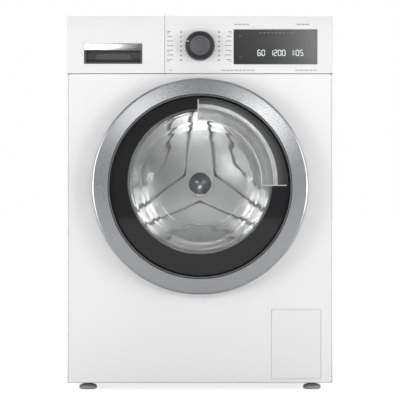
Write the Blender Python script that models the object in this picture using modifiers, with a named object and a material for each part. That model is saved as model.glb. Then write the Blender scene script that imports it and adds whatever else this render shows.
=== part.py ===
"""Front-loading washing machine: the cabinet and its panels, the fascia with its detergent drawer and dial,
the porthole door, and inside them the tub on springs and dampers with its drum, belt drive, heater and
drain pump.

Frame: metres, +Z up, the door faces -Y. The origin is on the floor, under the middle of the whole machine.
Depths written as "deep" are measured from the front face of the front panel, positive towards the rear.
"""

import math

import bmesh
import bpy
from mathutils import Matrix, Vector

# ---------------------------------------------------------------- overall sizes
WIDTH = 0.598
HEIGHT = 0.848
DEPTH = 0.632              # door ring's front to the ends of the rear fittings
DOOR_PROUD = 0.042         # door ring ahead of the front panel
REAR_PROUD = 0.016         # water inlet behind the rear panel
FOOT_RISE = 0.017          # floor to the underside of the cabinet
SHEET = 0.0012             # steel sheet
WALL = 0.0025              # moulded plastic wall
TOUCH = 0.0003             # gap kept between pieces that touch
HOSE_GAP = 0.0012          # gap at the end of a hose or a pipe
SEAM = 0.0015              # visible seam between outer panels

FRONT = -DEPTH / 2 + DOOR_PROUD
REAR = DEPTH / 2 - REAR_PROUD
HALF = WIDTH / 2
REAR_DEEP = REAR - FRONT

# ---------------------------------------------------------------- cabinet
WORKTOP_THICK = 0.022
UNDER_TOP = HEIGHT - WORKTOP_THICK
PANEL_LIP = 0.0038         # strip of side panel seen beside the front panel
PANEL_RETURN = 0.0140      # depth of the side panel's folded front edge
FLANGE = 0.016
FRONT_PAN = 0.012          # depth of the front panel's folded edges
BASE_HEIGHT = 0.034
BASE_WALL = 0.003
BASE_FRONT_DEEP = PANEL_RETURN + 2 * SHEET + TOUCH
BRACE_TALL = 0.030
BRACE_WIDE = 0.030

# ---------------------------------------------------------------- fascia, drawer, dial, window
FASCIA_TALL = 0.1345
FASCIA_DEPTH = 0.030       # how far the fascia wraps back over the cabinet
FASCIA_PROUD = 0.002
FASCIA_ROUND = 0.010
CREASE_DROP = 0.0325       # top of the machine to the crease where the fascia leans back
FASCIA_LEAN = 0.004
DRAWER_FACE_WIDE = 0.2195
DRAWER_GAP = 0.003
HANDLE_WIDE = 0.130
HANDLE_TALL = 0.045
HANDLE_DROP = 0.0678       # top of the machine to the top of the handle
HANDLE_INSET = 0.0393      # left side of the machine to the handle
HANDLE_DEPTH = 0.022
HANDLE_STRIP = 0.015       # bright strip above the finger opening
DRAWER_RETURN = 0.0140     # how far the drawer's front wraps back
SURROUND_DEEP = 0.0155     # where the fascia starts behind it
TRAY_WIDE = 0.164
TRAY_INSET = 0.037
TRAY_TALL = 0.047
TRAY_DEPTH = 0.235
TRAY_WALL = 0.002
TRAY_CLEAR = 0.0012
DIAL_R = 0.0335
DIAL_PROUD = 0.022
DIAL_DROP = 0.0736         # top of the machine to the dial's axis
BUTTON_R = 0.0236
SLEEVE_R = 0.0280
RUN = 0.0006               # clearance between a turning piece and its surround
WINDOW_WIDE = 0.1876
WINDOW_TALL = 0.078
WINDOW_RIGHT = 0.0359      # right side of the machine to the window
WINDOW_DROP = 0.036
WINDOW_ROUND = 0.005

FASCIA_BOTTOM = HEIGHT - FASCIA_TALL
CREASE_Z = HEIGHT - CREASE_DROP
DRAWER_RIGHT = -HALF + DRAWER_FACE_WIDE
HANDLE_LEFT = -HALF + HANDLE_INSET
HANDLE_TOP = HEIGHT - HANDLE_DROP
DIAL_Z = HEIGHT - DIAL_DROP

# ---------------------------------------------------------------- drum and tub
DRUM_Z = 0.4705
DRUM_R = 0.250
DRUM_LONG = 0.335
DRUM_START = 0.090         # deep
MOUTH_R = 0.165            # drum mouth
DRUM_SHEET = 0.0015
TUB_GAP = 0.018            # drum to the tub's wall
TUB_WALL = 0.004
TUB_COLLAR_R = 0.189       # inner radius of the collar that the gasket fits
TUB_START = DRUM_START - 0.024
TUB_SPLIT = 0.2020         # deep, where the two tub halves meet
SPIDER_THICK = 0.020
SHAFT_R = 0.0150
SHAFT_CLEAR = 0.0004
HUB_R = 0.0305             # bearing cartridge
PULLEY_R = 0.150
PULLEY_WIDE = 0.017
MOTOR_X = 0.115
MOTOR_DROP = 0.3555        # drum axis to motor axis
MOTOR_R = 0.062
MOTOR_LONG = 0.130
PINION_R = 0.0113
BELT_THICK = 0.003
BELT_WIDE = 0.010
WEIGHT_IN_LEFT = 0.202     # tub's sides to the top weight
WEIGHT_IN_RIGHT = 0.082
WEIGHT_TALL = 0.038        # above the tub's highest point
LIFTER_TALL = 0.055
LIFTER_WIDE = 0.070
LIFTER_LONG = 0.260

TUB_R = DRUM_R + TUB_GAP + TUB_WALL
TUB_INNER_R = TUB_R - TUB_WALL
DRUM_END = DRUM_START + DRUM_LONG
SPIDER_START = DRUM_END + TOUCH * 4
TUB_END = DRUM_END + 0.053
HUB_END = TUB_END + 0.032
PULLEY_START = HUB_END + 0.006
BELT_START = PULLEY_START + (PULLEY_WIDE - BELT_WIDE) / 2
MOTOR_Z = DRUM_Z - MOTOR_DROP
MOTOR_END = TUB_END + 0.030
HEATER_X = 0.030
HEATER_WIRE = 0.0035
HEATER_BELOW = 0.009       # drum to the heater's axis
HEATER_Z = DRUM_Z - math.sqrt((DRUM_R + HEATER_BELOW) ** 2 - HEATER_X ** 2)

# ---------------------------------------------------------------- suspension
HANG_DEEP = 0.270          # springs
SPRING_X = HALF - 0.037
SPRING_R = 0.0120
SPRING_WIRE = 0.0017
SPRING_TURNS = 6
LUG_RISE = 0.130           # drum axis to the spring lugs
LUG_THICK = 0.010
DAMPER_DEEP = 0.250
DAMPER_FOOT_X = 0.190
DAMPER_FOOT_Z = FOOT_RISE + BASE_HEIGHT + 0.004
DAMPER_HEAD_X = 0.145
DAMPER_HEAD_DROP = 0.2485  # drum axis to the dampers' upper pins
DAMPER_R = 0.014
DAMPER_ROD_R = 0.006
DAMPER_EYE = 0.010
DAMPER_PIN_R = 0.004
EYE_WIDE = 0.018
EAR_THICK = 0.004

# ---------------------------------------------------------------- door
DOOR_Z = 0.460
DOOR_R = 0.241
RING_WIDE = 0.0355         # face of the bright ring
BEZEL_WIDE = 0.008         # dark bevel inside it
DOOR_BACK = -0.009         # deep, back edge of the ring
PANE_FRONT = -0.0315
PANE_THICK = 0.004
GRIP_R = 0.1485            # inner radius of the grip's cut-out
GRIP_FLOOR = -0.0140
BOWL_R = 0.162
BOWL_LONG = 0.125
GLASS = 0.004
BOWL_FLANGE = 0.174
FRAME_FRONT = -0.0088
FRAME_BACK = -0.0042
OPENING_R = 0.1875         # mouth of the front panel
HINGE_IN = 0.010           # ring's outer edge to the hinge pin
HINGE_DEEP = -0.020
PIN_R = 0.0025
KNUCKLE_R = 0.005
KNUCKLE_HALF = 0.021
ARM_TALL = 0.012
ARM_THICK = 0.005
HOOK_IN = 0.0295           # ring's outer edge to the hook
HOOK_Z = DOOR_Z - 0.030
HOOK_PIVOT_DEEP = -0.016
HOOK_TALL = 0.016

HINGE_X = -DOOR_R + HINGE_IN
HOOK_X = DOOR_R - HOOK_IN
FRAME_R = DOOR_R - 0.0055
ARM_END_X = HINGE_X + 0.0325
RING_INNER_R = DOOR_R - RING_WIDE
BEVEL_R = RING_INNER_R - BEZEL_WIDE

# ---------------------------------------------------------------- drain, flap, water, mains, feet
FLAP_WIDE = 0.112
FLAP_TALL = 0.157
FLAP_RIGHT = 0.0273        # right side of the machine to the flap's opening
FLAP_RISE = 0.0108         # underside of the cabinet to the opening
FLAP_THICK = 0.003
FLAP_GAP = 0.001
PUMP_Z = 0.095
PUMP_R = 0.031
PUMP_START = 0.016         # deep
PUMP_LONG = 0.109
FILTER_R = 0.0255
SUMP_X = 0.100
SUMP_DEEP = 0.100
SUMP_R = 0.0185
SUMP_BORE_R = 0.0150
SPOUT_LONG = 0.0135        # below the tub's lowest point
SPIGOT_TALL = 0.0201       # above the tub's outside at its axis
SPIGOT_BORE_R = 0.0120
HOSE_WALL_R = 0.0110       # drain hose
INLET_X = -0.205
INLET_Z = HEIGHT - 0.068
INLET_R = 0.0131           # 3/4 inch thread
OUTLET_X = HALF - 0.029
OUTLET_Z = HEIGHT - 0.108
GLAND_X = 0.110
GLAND_Z = HEIGHT - 0.060
GLAND_R = 0.009
DISPENSER_HOSE_X = -0.180
DISPENSER_HOSE_DEEP = 0.130
DISPENSER_HOSE_R = 0.0160
INLET_PIPE_R = 0.0080
FOOT_R = 0.020
FOOT_PAD = 0.012
STEM_R = 0.0048
STEM_TALL = 0.045
FOOT_INSET = 0.044         # cabinet side to the foot's axis
FOOT_INSET_DEEP = 0.052
BOSS_R = 0.012

ROUND = 36                 # sides of the large round pieces
SMALL_ROUND = 12

SPOUT_ROOT_Z = DRUM_Z - math.sqrt(TUB_INNER_R ** 2 - (SUMP_X + SUMP_R) ** 2) - 0.0056
SPOUT_END_Z = DRUM_Z - TUB_R - SPOUT_LONG
SPIGOT_ROOT_Z = DRUM_Z + math.sqrt(TUB_INNER_R ** 2 - DISPENSER_HOSE_X ** 2)
SPIGOT_TOP_Z = DRUM_Z + math.sqrt(TUB_R ** 2 - DISPENSER_HOSE_X ** 2) + SPIGOT_TALL
FLAP_LEFT_X = HALF - FLAP_RIGHT - FLAP_WIDE
FLAP_BOTTOM = FOOT_RISE + FLAP_RISE
PUMP_X = FLAP_LEFT_X + FLAP_WIDE / 2


# ---------------------------------------------------------------- scene and materials
def clear_scene():
    for obj in list(bpy.data.objects):
        bpy.data.objects.remove(obj)


def collection(name):
    made = bpy.data.collections.new(name)
    bpy.context.scene.collection.children.link(made)
    return made


def material(name, colour, roughness, metallic=0.0, alpha=1.0):
    made = bpy.data.materials.new(name)
    made.use_nodes = True
    shader = made.node_tree.nodes["Principled BSDF"]
    shader.inputs["Base Color"].default_value = (*colour, 1.0)
    shader.inputs["Roughness"].default_value = roughness
    shader.inputs["Metallic"].default_value = metallic
    shader.inputs["Alpha"].default_value = alpha
    return made


clear_scene()
PARTS = collection("washing_machine")
HELPERS = collection("cutters")

WHITE = material("white_enamel", (0.86, 0.86, 0.86), 0.35)
WHITE_PLASTIC = material("white_plastic", (0.83, 0.83, 0.83), 0.4)
GREY_PLASTIC = material("grey_plastic", (0.45, 0.45, 0.46), 0.55)
DARK_PLASTIC = material("dark_plastic", (0.05, 0.05, 0.055), 0.4)
SMOKED = material("smoked_pane", (0.05, 0.05, 0.05), 0.1, alpha=0.5)
GLASS_CLEAR = material("glass", (0.8, 0.84, 0.84), 0.05, alpha=0.35)
BRIGHT = material("bright_ring", (0.62, 0.62, 0.63), 0.25, 1.0)
STAINLESS = material("stainless", (0.6, 0.6, 0.61), 0.3, 1.0)
CAST = material("cast_aluminium", (0.5, 0.5, 0.51), 0.5, 1.0)
STEEL = material("steel", (0.35, 0.35, 0.36), 0.4, 1.0)
ZINC = material("zinc_sheet", (0.55, 0.56, 0.57), 0.45, 1.0)
RUBBER = material("rubber", (0.18, 0.18, 0.19), 0.75)
BLACK_RUBBER = material("black_rubber", (0.03, 0.03, 0.03), 0.8)
TUB_PLASTIC = material("tub_plastic", (0.62, 0.62, 0.6), 0.55)
CONCRETE = material("concrete", (0.42, 0.41, 0.39), 0.9)
COPPER = material("motor_shell", (0.25, 0.25, 0.26), 0.5, 0.8)


# ---------------------------------------------------------------- making shapes
def place(obj, finish=None):
    PARTS.objects.link(obj)
    if finish:
        obj.data.materials.append(finish)
    return obj


def mesh_of(name, bm, finish=None):
    mesh = bpy.data.meshes.new(name)
    bm.to_mesh(mesh)
    bm.free()
    return place(bpy.data.objects.new(name, mesh), finish)


def box(name, low, high, finish=None):
    """A box between two corners, its origin at its centre."""
    low, high = Vector(low), Vector(high)
    bm = bmesh.new()
    bmesh.ops.create_cube(bm, size=1)
    bmesh.ops.scale(bm, vec=high - low, verts=bm.verts)
    obj = mesh_of(name, bm, finish)
    obj.location = (low + high) / 2
    return obj


def deep_box(name, x, deep, z, finish=None):
    """A box from three (low, high) ranges, the middle one measured from the front panel."""
    return box(name, (x[0], FRONT + deep[0], z[0]), (x[1], FRONT + deep[1], z[1]), finish)


def rod(name, start, end, radius, finish=None, sides=SMALL_ROUND):
    """A cylinder between two points."""
    start, end = Vector(start), Vector(end)
    bm = bmesh.new()
    bmesh.ops.create_cone(bm, cap_ends=True, segments=sides, radius1=radius, radius2=radius,
                          depth=(end - start).length)
    obj = mesh_of(name, bm, finish)
    obj.location = (start + end) / 2
    obj.rotation_euler = (end - start).to_track_quat("Z", "Y").to_euler()
    return obj


def rod_deep(name, x, z, deep, radius, finish=None, sides=SMALL_ROUND):
    """A cylinder along the machine's depth."""
    return rod(name, (x, FRONT + deep[0], z), (x, FRONT + deep[1], z), radius, finish, sides)


def turned(name, profile, centre, finish=None, steps=ROUND, upright=False, thickness=0.0):
    """Turns a profile of (radius, along) points. Along is deep, or height when upright.
    A profile is a closed loop, or starts and ends on the axis. With a thickness it is an open line,
    thickened to the side that it runs clockwise around."""
    if not thickness:
        ring = profile + profile[:1]
        area = sum(a[0] * b[1] - b[0] * a[1] for a, b in zip(ring, ring[1:]))
        if area > 0:
            profile = profile[::-1]
    on_axis = profile[0][0] == 0 and profile[-1][0] == 0
    bm = bmesh.new()
    points = [bm.verts.new((radius, 0, along)) for radius, along in profile]
    for a, b in zip(points, points[1:]):
        bm.edges.new((a, b))
    if not on_axis and not thickness:
        bm.edges.new((points[-1], points[0]))
    obj = mesh_of(name, bm, finish)
    if upright:
        obj.location = centre
    else:
        obj.location = (centre[0], FRONT, centre[1])
        obj.rotation_euler = (-math.pi / 2, 0, 0)
    screw = obj.modifiers.new("turn", "SCREW")
    screw.steps = screw.render_steps = steps
    screw.use_merge_vertices = True
    screw.merge_threshold = 1e-5
    if thickness:
        solidify = obj.modifiers.new("thickness", "SOLIDIFY")
        solidify.thickness = thickness
        solidify.offset = 0
        solidify.use_even_offset = True
    return obj


AXES = {
    "X": Matrix(((0, 0, 1), (1, 0, 0), (0, 1, 0))),
    "Y": Matrix(((1, 0, 0), (0, 0, -1), (0, 1, 0))),
    "Z": Matrix.Identity(3),
}


def as_mesh(obj):
    """A curve made a mesh with its caps welded, so that a Boolean can use it."""
    bpy.context.view_layer.update()
    evaluated = obj.evaluated_get(bpy.context.evaluated_depsgraph_get())
    mesh = bpy.data.meshes.new_from_object(evaluated)
    bm = bmesh.new()
    bm.from_mesh(mesh)
    bmesh.ops.remove_doubles(bm, verts=bm.verts, dist=1e-6)
    bm.to_mesh(mesh)
    bm.free()
    name, place_at = obj.name, obj.matrix_world.copy()
    bpy.data.objects.remove(obj)
    made = bpy.data.objects.new(name, mesh)
    PARTS.objects.link(made)
    made.matrix_world = place_at
    return made


def extruded(name, outlines, axis, start, end, finish=None):
    """A flat outline, or several where the inner ones are holes, extruded along a world axis.
    Its points are (y, z) along X, (x, z) along Y and (x, y) along Z."""
    if isinstance(outlines[0][0], (int, float)):
        outlines = [outlines]
    curve = bpy.data.curves.new(name, "CURVE")
    curve.dimensions = "2D"
    curve.fill_mode = "BOTH"
    curve.extrude = abs(end - start) / 2
    for outline in outlines:
        spline = curve.splines.new("POLY")
        spline.points.add(len(outline) - 1)
        for point, (u, v) in zip(spline.points, outline):
            point.co = (u, v, 0, 1)
        spline.use_cyclic_u = True
    if finish:
        curve.materials.append(finish)
    obj = bpy.data.objects.new(name, curve)
    PARTS.objects.link(obj)
    obj.rotation_euler = AXES[axis].to_euler()
    obj.location = AXES[axis] @ Vector((0, 0, (start + end) / 2 * (-1 if axis == "Y" else 1)))
    return as_mesh(obj)


def tube(name, route, radius, finish=None, resolution=2):
    """A round tube along a route of points."""
    curve = bpy.data.curves.new(name, "CURVE")
    curve.dimensions = "3D"
    curve.bevel_depth = radius
    curve.bevel_resolution = resolution
    curve.use_fill_caps = True
    spline = curve.splines.new("POLY")
    spline.points.add(len(route) - 1)
    for point, place_at in zip(spline.points, route):
        point.co = (*place_at, 1)
    if finish:
        curve.materials.append(finish)
    obj = bpy.data.objects.new(name, curve)
    PARTS.objects.link(obj)
    return obj


def smooth_route(points, each=5):
    """Points on a Catmull-Rom curve through the given ones."""
    points = [Vector(p) for p in points]
    ends = [2 * points[0] - points[1], *points, 2 * points[-1] - points[-2]]
    route = []
    for a, b, c, d in zip(ends, ends[1:], ends[2:], ends[3:]):
        for step in range(each):
            t = step / each
            route.append(0.5 * (2 * b + (c - a) * t + (2 * a - 5 * b + 4 * c - d) * t * t
                                + (3 * b - a - 3 * c + d) * t ** 3))
    return [*route, points[-1]]


def arc(centre, radius, start, end, count):
    """Points on an arc, both ends included, angles in radians."""
    return [(centre[0] + radius * math.cos(start + (end - start) * i / (count - 1)),
             centre[1] + radius * math.sin(start + (end - start) * i / (count - 1)))
            for i in range(count)]


def helper(obj):
    """Moves a cutter or a joined shape out of the parts."""
    PARTS.objects.unlink(obj)
    HELPERS.objects.link(obj)
    obj.hide_render = True
    obj.display_type = "WIRE"
    return obj


def boolean(target, other, operation):
    modifier = target.modifiers.new(operation.lower(), "BOOLEAN")
    modifier.operation = operation
    modifier.object = helper(other)
    modifier.solver = "EXACT"
    return target


def cut(target, *others):
    for other in others:
        boolean(target, other, "DIFFERENCE")
    return target


def join(target, *others):
    for other in others:
        boolean(target, other, "UNION")
    return target


def round_edges(obj, width, segments, chosen):
    """Bevels the edges for which chosen(start, end) holds, in the object's own coordinates."""
    bm = bmesh.new()
    bm.from_mesh(obj.data)
    edges = [e for e in bm.edges if chosen(e.verts[0].co, e.verts[1].co)]
    bmesh.ops.bevel(bm, geom=edges, offset=width, segments=segments, profile=0.5, affect="EDGES")
    bm.to_mesh(obj.data)
    bm.free()
    return obj


def pivot(name, point, children):
    """An empty on a joint's axis, with the pieces that move on it as its children."""
    empty = bpy.data.objects.new(name, None)
    empty.empty_display_size = 0.03
    empty.location = point
    PARTS.objects.link(empty)
    bpy.context.view_layer.update()
    for child in children:
        child.parent = empty
        child.matrix_parent_inverse = empty.matrix_world.inverted()
    return empty


def at(x, deep, z):
    return (x, FRONT + deep, z)


def both(low, high):
    """A (low, high) range from a middle and a half width."""
    return (low - high, low + high)


# ---------------------------------------------------------------- cabinet
def make_side_panel(side, name):
    lip = HALF - PANEL_LIP
    section = [(HALF, REAR), (HALF, FRONT + 0.0022), (HALF - 0.0007, FRONT + 0.0007), (HALF - 0.0022, FRONT),
               (lip, FRONT), (lip, FRONT + PANEL_RETURN), (lip - FLANGE, FRONT + PANEL_RETURN),
               (lip - FLANGE, FRONT + PANEL_RETURN + SHEET), (lip + SHEET, FRONT + PANEL_RETURN + SHEET),
               (lip + SHEET, FRONT + SHEET), (HALF - SHEET, FRONT + 0.0026),
               (HALF - SHEET, REAR - 2 * SHEET - TOUCH), (HALF - FLANGE, REAR - 2 * SHEET - TOUCH),
               (HALF - FLANGE, REAR - SHEET - TOUCH), (HALF - SHEET, REAR - SHEET - TOUCH),
               (HALF - SHEET, REAR)]
    if side < 0:
        section = [(-x, y) for x, y in section][::-1]
    panel = extruded(name, section, "Z", FOOT_RISE, UNDER_TOP, WHITE)
    return cut(panel, deep_box(name + "_fascia_cut", both(side * HALF, 0.03), (-0.05, FASCIA_DEPTH + SEAM),
                               (FASCIA_BOTTOM - SEAM, HEIGHT)))


def make_front_panel():
    edge = HALF - PANEL_LIP - 0.0005
    low, high = FOOT_RISE + 0.003, FASCIA_BOTTOM - SEAM
    panel = deep_box("front_panel", both(0, edge), (0, FRONT_PAN), (low, high), WHITE)
    front = -FRONT_PAN / 2
    round_edges(panel, 0.002, 2, lambda a, b: abs(a.y - front) < 1e-6 and abs(b.y - front) < 1e-6)
    hollow = deep_box("front_panel_hollow", both(0, edge - SHEET), (SHEET, FRONT_PAN + 0.01),
                      (low + SHEET, high - SHEET))
    mouth = rod_deep("front_panel_mouth", 0, DRUM_Z, (-0.01, 0.01), OPENING_R + 0.0100, sides=ROUND)
    lip = turned("front_panel_rolled_lip", [
        (OPENING_R + 0.0112, 0), (OPENING_R + 0.0085, 0), (OPENING_R + 0.0012, 0.0085), (OPENING_R, 0.0115),
        (OPENING_R, 0.0160), (OPENING_R + SHEET, 0.0160), (OPENING_R + SHEET, 0.0120),
        (OPENING_R + 0.0092, SHEET), (OPENING_R + 0.0112, SHEET)], (0, DRUM_Z))
    flap_hole = deep_box("front_panel_flap_hole", (FLAP_LEFT_X, FLAP_LEFT_X + FLAP_WIDE), (-0.01, 0.005),
                         (FLAP_BOTTOM, FLAP_BOTTOM + FLAP_TALL))
    lock_slot = deep_box("front_panel_lock_slot", both(HOOK_X, 0.0075), (-0.01, 0.005), both(HOOK_Z, 0.0105))
    cut(panel, hollow, mouth)
    join(panel, lip)
    return cut(panel, flap_hole, lock_slot)


def make_rear_panel():
    edge = HALF - SHEET - TOUCH
    panel = deep_box("rear_panel", both(0, edge), (REAR_DEEP - SHEET, REAR_DEEP),
                     (FOOT_RISE, UNDER_TOP - TOUCH), ZINC)
    through = (REAR_DEEP - 0.02, REAR_DEEP + 0.02)
    return cut(panel,
               rod_deep("inlet_hole", INLET_X, INLET_Z, through, INLET_R + 2 * TOUCH, sides=24),
               rod_deep("outlet_hole", OUTLET_X, OUTLET_Z, through, HOSE_WALL_R + 2 * TOUCH, sides=24),
               rod_deep("gland_hole", GLAND_X, GLAND_Z, through, GLAND_R + TOUCH))


def make_base_pan():
    edge = HALF - SHEET - TOUCH
    deep = (BASE_FRONT_DEEP, REAR_DEEP - 2 * SHEET - 2 * TOUCH)
    top = FOOT_RISE + BASE_HEIGHT
    pan = deep_box("base_pan", both(0, edge), deep, (FOOT_RISE, top), GREY_PLASTIC)
    cut(pan, deep_box("base_hollow", both(0, edge - BASE_WALL), (deep[0] + BASE_WALL, deep[1] - BASE_WALL),
                      (FOOT_RISE + BASE_WALL, top + 0.05)))
    for side in (-1, 1):
        for foot_deep in foot_depths():
            spot = (side * (HALF - FOOT_INSET), foot_deep)
            join(pan, rod("boss", at(*spot, FOOT_RISE + 0.001), at(*spot, FOOT_RISE + 0.022), BOSS_R))
            cut(pan, rod("stem_bore", at(*spot, 0), at(*spot, FOOT_RISE + 0.05), STEM_R + TOUCH))
        x = side * DAMPER_FOOT_X
        for row in (-1, 1):
            ear_deep = DAMPER_DEEP + row * (EYE_WIDE / 2 + TOUCH + EAR_THICK / 2)
            ear = extruded("damper_foot_ear", [
                (x - 0.014, FOOT_RISE + 0.001), (x + 0.014, FOOT_RISE + 0.001),
                *arc((x, DAMPER_FOOT_Z), 0.010, 0, math.pi, 7)],
                "Y", FRONT + ear_deep - EAR_THICK / 2, FRONT + ear_deep + EAR_THICK / 2)
            join(pan, ear)
        cut(pan, rod_deep("damper_foot_hole", x, DAMPER_FOOT_Z, both(DAMPER_DEEP, 0.03),
                          DAMPER_PIN_R + TOUCH))
    return pan


def make_worktop():
    top = deep_box("worktop", both(0, HALF), (FASCIA_DEPTH + SEAM, REAR_DEEP),
                   (UNDER_TOP + TOUCH, HEIGHT), WHITE_PLASTIC)
    high = (HEIGHT - UNDER_TOP - TOUCH) / 2
    rear = (REAR_DEEP - FASCIA_DEPTH - SEAM) / 2
    return round_edges(top, 0.004, 3, lambda a, b: (a.z > high - 1e-6 and b.z > high - 1e-6
                                                    and (abs(a.x - b.x) < 1e-6 or a.y > rear - 1e-6)))


def make_brace():
    high = UNDER_TOP - TOUCH
    brace = deep_box("upper_brace", both(0, HALF - SHEET - TOUCH), both(HANG_DEEP, BRACE_WIDE / 2),
                     (high - BRACE_TALL, high), ZINC)
    return cut(brace, deep_box("brace_hollow", both(0, HALF), both(HANG_DEEP, BRACE_WIDE / 2 - 0.002),
                               (high - BRACE_TALL + 0.002, high + 0.01)))


def foot_depths():
    return FOOT_INSET_DEEP, REAR_DEEP - FOOT_INSET_DEEP


def make_feet():
    for front, foot_deep in zip(("front", "rear"), foot_depths()):
        for side, hand in ((-1, "left"), (1, "right")):
            spot = (side * (HALF - FOOT_INSET), FRONT + foot_deep, 0)
            foot = turned(f"foot_{front}_{hand}", [
                (0, 0), (FOOT_R - 0.002, 0), (FOOT_R, 0.002), (FOOT_R, FOOT_PAD - 0.001), (0.008, FOOT_PAD),
                (STEM_R, FOOT_PAD), (STEM_R, FOOT_PAD + STEM_TALL - 0.001),
                (STEM_R - 0.001, FOOT_PAD + STEM_TALL), (0, FOOT_PAD + STEM_TALL)],
                spot, BLACK_RUBBER, 12, upright=True)
            pivot(foot.name + "_slide", spot, [foot])


# ---------------------------------------------------------------- fascia
def fascia_outer(back):
    """The outside of the fascia from its lower front edge to a point on the top, as (y, z)."""
    face = FRONT - FASCIA_PROUD
    bend = (face + FASCIA_LEAN + FASCIA_ROUND, HEIGHT - FASCIA_ROUND)
    return [(face, FASCIA_BOTTOM), (face, CREASE_Z),
            *[(y, z) for y, z in arc(bend, FASCIA_ROUND, math.radians(171), math.radians(90), 6)],
            (FRONT + back, HEIGHT)]


def fascia_inner(back):
    """The space inside the fascia's wall, open at the back, as (y, z)."""
    face = FRONT - FASCIA_PROUD + WALL
    bend = (FRONT - FASCIA_PROUD + FASCIA_LEAN + FASCIA_ROUND, HEIGHT - FASCIA_ROUND)
    return [(FRONT + back + 0.01, FASCIA_BOTTOM + WALL), (face, FASCIA_BOTTOM + WALL),
            (face, CREASE_Z - 0.0002),
            *[(y, z) for y, z in arc(bend, FASCIA_ROUND - WALL, math.radians(171), math.radians(90), 6)],
            (FRONT + back + 0.01, HEIGHT - WALL)]


def fascia_shell(name, left, right, back, finish=None):
    """A piece of the fascia's moulding: front, top, bottom and both cheeks, open at the back."""
    outside = [*fascia_outer(back), (FRONT + back, FASCIA_BOTTOM)]
    shell = extruded(name, outside, "X", left, right, finish)
    return cut(shell, extruded(name + "_hollow", fascia_inner(back), "X", left + WALL, right - WALL))


def make_control_fascia():
    left, right = DRAWER_RIGHT + DRAWER_GAP, HALF - 0.0004
    far = FASCIA_DEPTH
    fascia = fascia_shell("control_fascia", left, right, far, WHITE_PLASTIC)
    small = 0.0003             # the surround's top and bottom are this far inside the fascia's
    surround = deep_box("drawer_surround", (-right, left + WALL * 0.6), (SURROUND_DEEP, far - small),
                        (FASCIA_BOTTOM + small, HEIGHT - small))
    cut(surround, deep_box("surround_hollow", (-right + WALL, left + WALL),
                           (SURROUND_DEEP + WALL, far + 0.01),
                           (FASCIA_BOTTOM + WALL, HEIGHT - WALL)))
    join(fascia, surround)
    opening = deep_box("drawer_opening", (-HALF + TRAY_INSET - 0.0045,
                                          -HALF + TRAY_INSET + TRAY_WIDE + 0.0045),
                       (0, 0.05), (HANDLE_TOP - HANDLE_TALL - 0.002, HANDLE_TOP + 0.0190))
    sleeve = rod_deep("dial_hole", 0, DIAL_Z, (-0.02, 0.02), SLEEVE_R + RUN, sides=32)
    window = deep_box("window_hole", (HALF - WINDOW_RIGHT - WINDOW_WIDE - TOUCH, HALF - WINDOW_RIGHT + TOUCH),
                      (-0.01, 0.004), (HEIGHT - WINDOW_DROP - WINDOW_TALL - TOUCH,
                                       HEIGHT - WINDOW_DROP + TOUCH))
    return cut(fascia, opening, sleeve, window)


def make_window():
    left, right = HALF - WINDOW_RIGHT - WINDOW_WIDE, HALF - WINDOW_RIGHT
    low, high = HEIGHT - WINDOW_DROP - WINDOW_TALL, HEIGHT - WINDOW_DROP
    r = WINDOW_ROUND
    outline = [(left, low), *arc((right - r, low + r), r, -math.pi / 2, 0, 4),
               *arc((right - r, high - r), r, 0, math.pi / 2, 4), (left, high)]
    front = FRONT - FASCIA_PROUD - 0.0004
    return extruded("display_window", outline, "Y", front, front + 0.002, DARK_PLASTIC)


def make_control_module():
    module = deep_box("control_module", (-0.045, HALF - 0.030), (0.0062, 0.0200),
                      (HEIGHT - 0.118, HEIGHT - 0.040), GREY_PLASTIC)
    join(module, deep_box("display_block", (HALF - WINDOW_RIGHT - WINDOW_WIDE + 0.002,
                                            HALF - WINDOW_RIGHT - 0.002),
                          (0.0002, 0.0080), (HEIGHT - WINDOW_DROP - WINDOW_TALL + 0.002,
                                             HEIGHT - WINDOW_DROP - 0.0045)))
    return module


def make_dial():
    front = -FASCIA_PROUD - DIAL_PROUD
    back = -FASCIA_PROUD + WALL
    bore = BUTTON_R + RUN
    dial = turned("selector_dial", [
        (bore, front + 0.001), (bore + 0.001, front), (DIAL_R - 0.0030, front),
        (DIAL_R - 0.0012, front + 0.002),
        (DIAL_R, -FASCIA_PROUD - TOUCH), (SLEEVE_R, -FASCIA_PROUD - TOUCH), (SLEEVE_R, back + RUN),
        (SLEEVE_R + 0.002, back + RUN), (SLEEVE_R + 0.0005, back + 0.003), (bore, back + 0.003)],
        (0, DIAL_Z), GREY_PLASTIC, 32)
    button = turned("power_button", [
        (0, front + 0.0006), (BUTTON_R - 0.001, front + 0.0006), (BUTTON_R, front + 0.0016),
        (BUTTON_R, 0.0015),
        (BUTTON_R - 0.002, 0.0015), (BUTTON_R - 0.002, front + 0.0035), (0.004, front + 0.0035),
        (0.004, 0.0040), (0, 0.0040)],
        (0, DIAL_Z), GREY_PLASTIC, 24)
    pivot("dial_turn", at(0, -FASCIA_PROUD, DIAL_Z), [dial])
    pivot("power_press", at(0, front, DIAL_Z), [button])


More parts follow.
